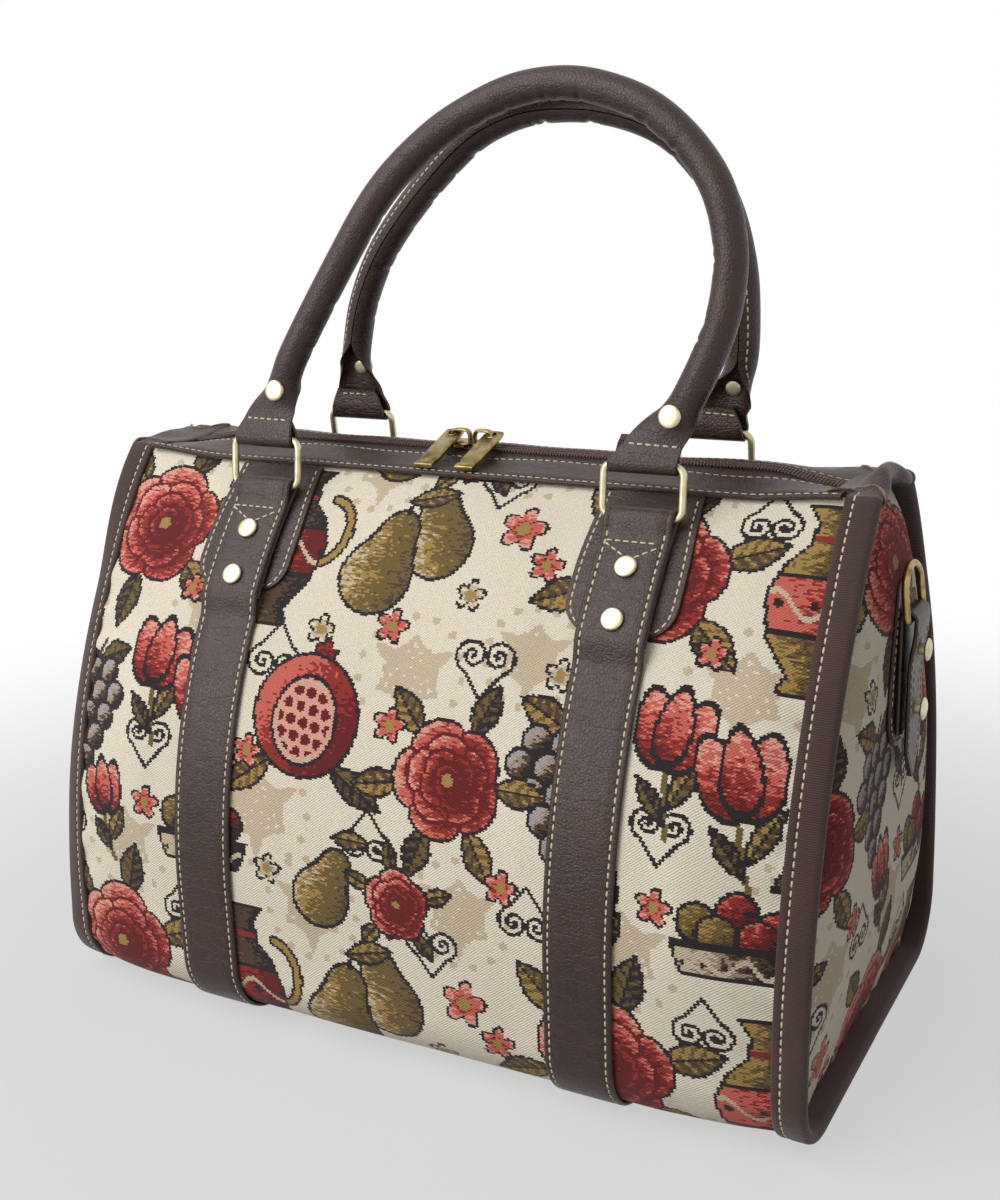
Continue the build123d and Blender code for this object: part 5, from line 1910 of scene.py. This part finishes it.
@dataclass
class Sliders:
    """Zip sliders, head to head, and the pulls that hang on their bridges."""

    finishes: Finishes
    meeting: float = -8.0
    middle: float = 6.0
    leg: float = 4.8
    top: float = 272.36
    plate: float = 1.2
    length: float = 11.0
    width: float = 8.0
    tilt: float = math.radians(9.6)
    bridge_inner: float = 4.66
    bridge_half: float = 0.85
    bridge_half_width: float = 1.9
    pull_slope: float = math.radians(19.202)
    pull_lift: float = 274.155
    pull_length: float = 35.0
    pull_width: float = 9.5
    pull_thickness: float = 2.0
    foot: float = 3.4
    hole: float = 2.5
    margin: float = 1.6

    def slider(self, name: str, end: float) -> None:
        """Plate with round ends, lips beside the coil, and the bridge along the zip.

        Args:
            name: left or right.
            end: -1 for the left, 1 for the right.
        """
        x = self.meeting + end * self.middle
        half, wide = self.length / 2, self.width / 2
        square = circle(40)
        shape = np.sign(square) * np.abs(square) ** 0.55 * (half, wide)
        first, second = X_AXIS, np.array((0.0, math.cos(self.tilt), math.sin(self.tilt)))
        up = np.cross(first, second)
        top = np.array((x, 0.0, self.top))
        draft = Draft()
        draft.plate(shape, top - self.plate * up, first, second, self.plate, 0.35)
        for side in (-1.0, 1.0):
            lip = top + side * (wide - 0.45) * second - (self.plate + 1.4) * up
            draft.plate(shape * (0.5, 0.1), lip, first, second, 1.5, 0.1)
        tall = self.bridge_inner + self.bridge_half
        line = [(-1, -0.05), (-0.98, 0.5), (-0.75, 0.9), (0, 1.0), (0.75, 0.9), (0.98, 0.5), (1, -0.05)]
        arch = smooth_line([top + u * self.leg * first + v * tall * Z_AXIS for u, v in line], 40)
        ahead = unit(np.gradient(arch, axis=0))
        across = np.broadcast_to(Y_AXIS, arch.shape)
        bar = circle(12) * (self.bridge_half_width, self.bridge_half)
        draft.sweep(arch, across, np.cross(ahead, across), bar)
        piece = draft.build(f"{name}_slider_body", self.finishes.dark_brass, 50)
        fit_piece(piece, f"{name}_slider", "antique_brass", f"{name}_slider")

    def pull(self, name: str, end: float) -> None:
        """Flat pull with a round head, a round hole and a thick foot.

        Args:
            name: left or right.
            end: -1 for the left, 1 for the right.
        """
        x = self.meeting + end * (self.middle + self.leg)
        half, head = self.pull_width / 2, self.hole + self.margin
        tail = head - self.pull_length
        spoke, thick = circle(64), self.pull_thickness
        sides = half / np.maximum(np.abs(spoke[:, 0]), 1e-6)
        ends = np.where(spoke[:, 1] > 0, head, -tail) / np.maximum(np.abs(spoke[:, 1]), 1e-6)
        crown = 1 / np.sqrt((spoke[:, 0] / half) ** 2 + (spoke[:, 1] / head) ** 2)
        square = np.minimum(sides, ends)
        reach = np.where(spoke[:, 1] > 0, crown * 0.35 + square * 0.65, square)
        first, second = X_AXIS, np.array((0.0, math.cos(self.pull_slope), math.sin(self.pull_slope)))
        up = np.cross(first, second)
        origin = np.array((x, 0.0, self.pull_lift)) + math.tan(self.pull_slope) * thick / 2 * second
        draft = Draft()
        draft.plate(reach[:, None] * spoke, origin, first, second, thick, 0.45, self.hole * spoke)
        foot = np.array([(-half, 0), (half, 0), (half, self.foot), (-half, self.foot)]) + (0, tail)
        edges = zip(foot, np.roll(foot, -1, axis=0))
        foot = np.vstack([np.linspace(a, b, 5, endpoint=False) for a, b in edges])
        draft.plate(foot * (0.985, 1.0), origin + 0.5 * up, first, second, thick, 0.4)
        rim = 1.02 * self.hole * spoke[::2]
        line = origin + rim[:, :1] * first + rim[:, 1:] * second + (thick - 0.1) * up
        draft.tube(line, 0.4, 6, closed=True)
        piece = draft.build(f"{name}_pull_bar", self.finishes.dark_brass, 50)
        fit_piece(piece, f"{name}_pull", "antique_brass", f"{name}_pull")

    def make(self) -> None:
        """Build both sliders and both pulls."""
        for name, end in ENDS:
            self.slider(name, end)
            self.pull(name, end)


@dataclass
class EndLoops:
    """At each end a patch, a strap folded round a D-ring, and standing studs."""

    finishes: Finishes
    thread: Thread
    face: float = 199.0
    ring_x: float = 205.3
    ring_z: float = 210.0
    ring_height: float = 24.0
    ring_tilt: float = 2.4
    ring_corner: float = 2.2
    wire: float = 1.7
    wire_clear: float = 0.4
    half_width: float = 11.0
    thickness: float = 2.2
    tip: float = 136.0
    point: float = 14.0
    back_end: float = 158.0
    stitch_inset: float = 2.3
    draw_mm: float = 2.2
    draw_heights: tuple[float, float] = (186.0, 208.0)
    patch_low: float = 150.0
    patch_high: float = 226.0
    patch_half: float = 18.0
    patch_neck: float = 10.0
    patch_thickness: float = 1.6
    patch_inset: float = 2.6
    studs: tuple[float, float] = (195.0, 168.0)
    stud_profile: tuple[tuple[float, float], ...] = (
        (2.6, -0.4), (2.6, 2.3), (4.4, 2.5), (4.9, 2.9), (5.0, 3.4), (4.5, 4.0), (3.4, 4.4), (1.8, 4.65),
        (0.6, 4.7),
    )

    def drawn(self, height: Array) -> Array:
        """How far the studs draw the strap towards the bag at a height."""
        return self.draw_mm * (1 - ease(height, *self.draw_heights))

    def patch(self, name: str, end: float) -> None:
        """Pear-shaped patch, stitched all round.

        Args:
            name: left or right.
            end: -1 for the left, 1 for the right.
        """
        belly, high = self.patch_low + self.patch_half, self.patch_high
        angles = np.linspace(-math.pi, 0, 22)
        foot = joined(self.patch_half * np.cos(angles), belly + self.patch_half * np.sin(angles))
        flank = [(self.patch_half, belly), (15.6, belly + 22), (11.5, belly + 42)]
        flank.append((self.patch_neck, high - 3))
        right = smooth_line(flank, 14)[1:]
        crown = np.array([(7.5, high - 0.4), (0, high), (-7.5, high - 0.4)])
        outline = np.vstack([foot, right, crown, (right * (-1, 1))[::-1]])
        if end < 0:
            outline = outline[::-1]
        draft = Draft()
        origin = end * (self.face + 0.1) * X_AXIS
        draft.plate(outline, origin, end * Y_AXIS, Z_AXIS, self.patch_thickness, 0.5)
        piece = draft.build(f"{name}_end_patch_leather", self.finishes.leather)
        fit_piece(piece, "bag", "leather", f"{name}_end_patch")
        inset = outline - self.patch_inset * unit(outline - (0.0, belly))
        ring = np.vstack([inset, inset[:1]])
        path = joined(end * (self.face + 1.75), end * ring[:, 0], ring[:, 1])
        self.thread.row(path, end * X_AXIS)

    def strap(self, name: str, end: float) -> None:
        """The folded strap with a pointed tip.

        Args:
            name: left or right.
            end: -1 for the left, 1 for the right.
        """
        mid = self.thickness / 2
        reach = self.wire + self.wire_clear + mid
        shoulder = self.tip + self.point
        taper = np.linspace(0, 1, 8)
        low = np.concatenate([self.tip + self.point * taper, np.linspace(shoulder + 3, self.ring_z - 2, 22)])
        turn = np.linspace(0, math.pi, 18)
        back = np.linspace(self.ring_z - 3, self.back_end, 14)
        outs = (reach - self.drawn(low), reach * np.cos(turn), np.full(back.shape, -reach))
        x = self.ring_x + np.concatenate(outs)
        z = np.concatenate([low, self.ring_z + reach * np.sin(turn), back])
        path = joined(end * x, 0.0, z)
        across = np.broadcast_to(Y_AXIS, path.shape)
        normal = np.cross(unit(np.gradient(path, axis=0)), across) * end
        w = self.half_width
        right = [(0, mid + 0.15), (w - 3.0, mid + 0.1), (w - 2.3, mid - 0.25), (w - 1.6, mid + 0.05)]
        right += [(w - 0.4, mid - 0.25), (w, 0), (w - 0.4, 0.25 - mid), (0, -mid)]
        section = np.array(right + [(-a, b) for a, b in right[::-1][1:-1]])
        sections = np.repeat(section[None], len(x), axis=0)
        sections[: len(taper), :, 0] *= np.linspace(0.06, 1.0, len(taper))[:, None]
        draft = Draft()
        draft.sweep(path, across, normal, sections)
        piece = draft.build(f"{name}_end_loop_leather", self.finishes.leather)
        fit_piece(piece, "bag", "leather", f"{name}_end_strap")
        inset, upper, lower = w - self.stitch_inset, *self.studs
        rim = [(inset, self.ring_z - 4), (inset, shoulder + 1), (0, self.tip + 3.2)]
        inner = [(4.5, upper - 7), (4.5, lower + 8), (0, lower + 5.8)]
        for half in (rim, inner):
            row = [(-a, b) for a, b in half] + half[1::-1]
            run = resampled(np.array(row, float), 80)[0]
            shift = self.ring_x + reach + mid - 0.1 - self.drawn(run[:, 1])
            stitches = joined(end * shift, run[:, 0], run[:, 1])
            self.thread.row(stitches, end * X_AXIS)

    def hardware(self, name: str, end: float) -> None:
        """The D-ring and the standing studs.

        Args:
            name: left or right.
            end: -1 for the left, 1 for the right.
        """
        half, corner = self.half_width + 0.8 + self.wire, self.ring_corner
        top = self.ring_height - self.wire
        knee = top * 0.48
        angles = np.linspace(0, math.pi, 24)
        arch = joined(half * np.cos(angles), knee + (top - knee) * np.sin(angles))
        bend = np.linspace(math.pi, 1.5 * math.pi, 5)[:-1]
        foot = joined(-half + corner + corner * np.cos(bend), corner + corner * np.sin(bend))
        bar = joined(np.linspace(-half + corner, half - corner, 10), 0.0)
        across, up = np.vstack([arch, foot, bar, (foot * (-1, 1))[::-1]]).T
        lean = math.asin(self.ring_tilt / top)
        x, z = self.ring_x - up * math.sin(lean), self.ring_z + up * math.cos(lean)
        draft = Draft()
        draft.tube(joined(end * x, across, z), self.wire, 12, closed=True)
        piece = draft.build(f"{name}_d_ring_wire", self.finishes.dark_brass, 60)
        fit_piece(piece, f"{name}_d_ring", "antique_brass", f"{name}_d_ring")
        studs = Draft()
        outside = self.ring_x + self.wire + self.wire_clear + self.thickness
        for height in self.studs:
            seat = np.array((end * (outside - float(self.drawn(height))), 0.0, height))
            studs.lathe(seat, end * X_AXIS, self.stud_profile)
        piece = studs.build(f"{name}_end_studs", self.finishes.pale_brass, 60)
        fit_piece(piece, "bag", "pale_brass", f"{name}_end_rivets")

    def make(self) -> None:
        """Build both ends."""
        for name, end in ENDS:
            self.patch(name, end)
            self.strap(name, end)
            self.hardware(name, end)


@dataclass
class Studio:
    """Camera at the photo's angle, soft lamps and a pale floor."""

    position: tuple[float, float, float] = (355.13, -650.37, 407.72)
    azimuth: float = math.radians(28.36)
    elevation: float = math.radians(16.08)
    roll: float = math.radians(-1.8)
    focal_share: float = 1.57541
    sensor: float = 36.0
    floor_half: float = 12000.0
    floor_grey: Colour = (0.36, 0.36, 0.36, 1.0)
    floor_glow_share: float = 0.55
    floor_fade: tuple[float, float] = (0.22, 0.75)
    dim_strength: float = 0.42
    aim: tuple[float, float, float] = (0.0, 0.0, 0.2)

    def camera(self) -> None:
        """Set the camera."""
        data = bpy.data.cameras.new("camera")
        data.sensor_fit = "HORIZONTAL"
        data.sensor_width = self.sensor
        data.lens = self.focal_share * self.sensor
        data.clip_start = 0.01
        camera = bpy.data.objects.new("camera", data)
        bpy.context.scene.collection.objects.link(camera)
        cosine, sine = math.cos(self.elevation), math.sin(self.elevation)
        forward = Vector((-math.sin(self.azimuth) * cosine, math.cos(self.azimuth) * cosine, -sine))
        right = Vector((math.cos(self.azimuth), math.sin(self.azimuth), 0.0))
        up = right.cross(forward)
        across = right * math.cos(self.roll) + up * math.sin(self.roll)
        above = up * math.cos(self.roll) - right * math.sin(self.roll)
        turn = Matrix((across, above, -forward)).transposed().to_4x4()
        camera.matrix_world = Matrix.Translation(Vector(self.position) * MM) @ turn
        bpy.context.scene.camera = camera

    def lamp(self, name: str, place: Sequence[float], size: tuple[float, float], watts: float) -> None:
        """Add a soft lamp that faces the object.

        Args:
            name: of the lamp.
            place: where it hangs, in metres.
            size: width and height of its face.
            watts: its power.
        """
        data = bpy.data.lights.new(name, "AREA")
        data.shape = "RECTANGLE"
        data.size, data.size_y = size
        data.energy = watts
        lamp = bpy.data.objects.new(name, data)
        bpy.context.scene.collection.objects.link(lamp)
        lamp.location = place
        lamp.rotation_euler = (Vector(self.aim) - Vector(place)).to_track_quat("-Z", "Y").to_euler()

    def floor(self) -> None:
        """Add a wide pale floor that keeps the shadow and fades to white away from the object."""
        shader = Shader("pale_floor")
        where = shader.node("ShaderNodeTexCoord").outputs["Object"]
        length = shader.node("ShaderNodeVectorMath", {"operation": "LENGTH"}, {0: where})
        away = Signal(shader, length.outputs["Value"])
        matt = shader.node("ShaderNodeBsdfDiffuse", {}, {"Color": self.floor_grey})
        glow = shader.node("ShaderNodeEmission", {}, {"Color": WHITE, "Strength": 1.0})
        near = self.floor_glow_share
        share = shader.seen() * (near + away.between(*self.floor_fade) * (1 - near))
        both = shader.node("ShaderNodeMixShader", {}, {0: share, 1: matt.outputs[0], 2: glow.outputs[0]})
        shader.node("ShaderNodeOutputMaterial", {}, {"Surface": both.outputs[0]})
        draft = Draft()
        start = draft.add(np.array([(-1, -1, 0), (1, -1, 0), (1, 1, 0), (-1, 1, 0)], float) * self.floor_half)
        draft.face(range(start, start + 4))
        draft.build("floor", shader.owner)

    def world(self) -> None:
        """White surroundings, dim on the object."""
        shader = Shader("surroundings", bpy.data.worlds)
        bpy.context.scene.world = shader.owner
        sockets = {0: shader.seen()}
        for number, strength in ((1, self.dim_strength), (2, 1.0)):
            light = shader.node("ShaderNodeBackground", {}, {"Color": WHITE, "Strength": strength})
            sockets[number] = light.outputs[0]
        both = shader.node("ShaderNodeMixShader", {}, sockets)
        shader.node("ShaderNodeOutputWorld", {}, {"Surface": both.outputs[0]})

    def make(self) -> None:
        """Set up the whole studio."""
        self.camera()
        self.floor()
        self.world()
        self.lamp("softbox", (-0.84, -1.15, 1.72), (1.6, 1.6), 28.0)
        self.lamp("low_strip", (-1.1, -1.84, 0.7), (1.2, 0.5), 13.0)
        bpy.context.scene.view_settings.view_transform = "Standard"


def main() -> None:
    """Dress the solids, piece by piece."""
    logging.basicConfig(level=logging.INFO, format="%(message)s")
    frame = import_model()
    finishes = Finishes()
    shell = Shell()
    thread = Thread()
    Studio().make()
    TapestryBody(shell, finishes, Cartoon()).make()
    bindings = Bindings(shell, finishes, thread)
    for name, end in ENDS:
        bindings.make(name, end)
    ZipTop(shell, finishes, thread).make()
    Straps(shell, finishes, thread).make()
    Handles(finishes).make()
    Sliders(finishes).make()
    EndLoops(finishes, thread).make()
    fit_piece(thread.draft.build("cream_stitches", finishes.thread, 70), "bag", "leather")
    board = frame["nodes"]["base_board"]
    board.data.materials.clear()
    board.data.materials.append(finishes.board)


if __name__ == "__main__":
    main()
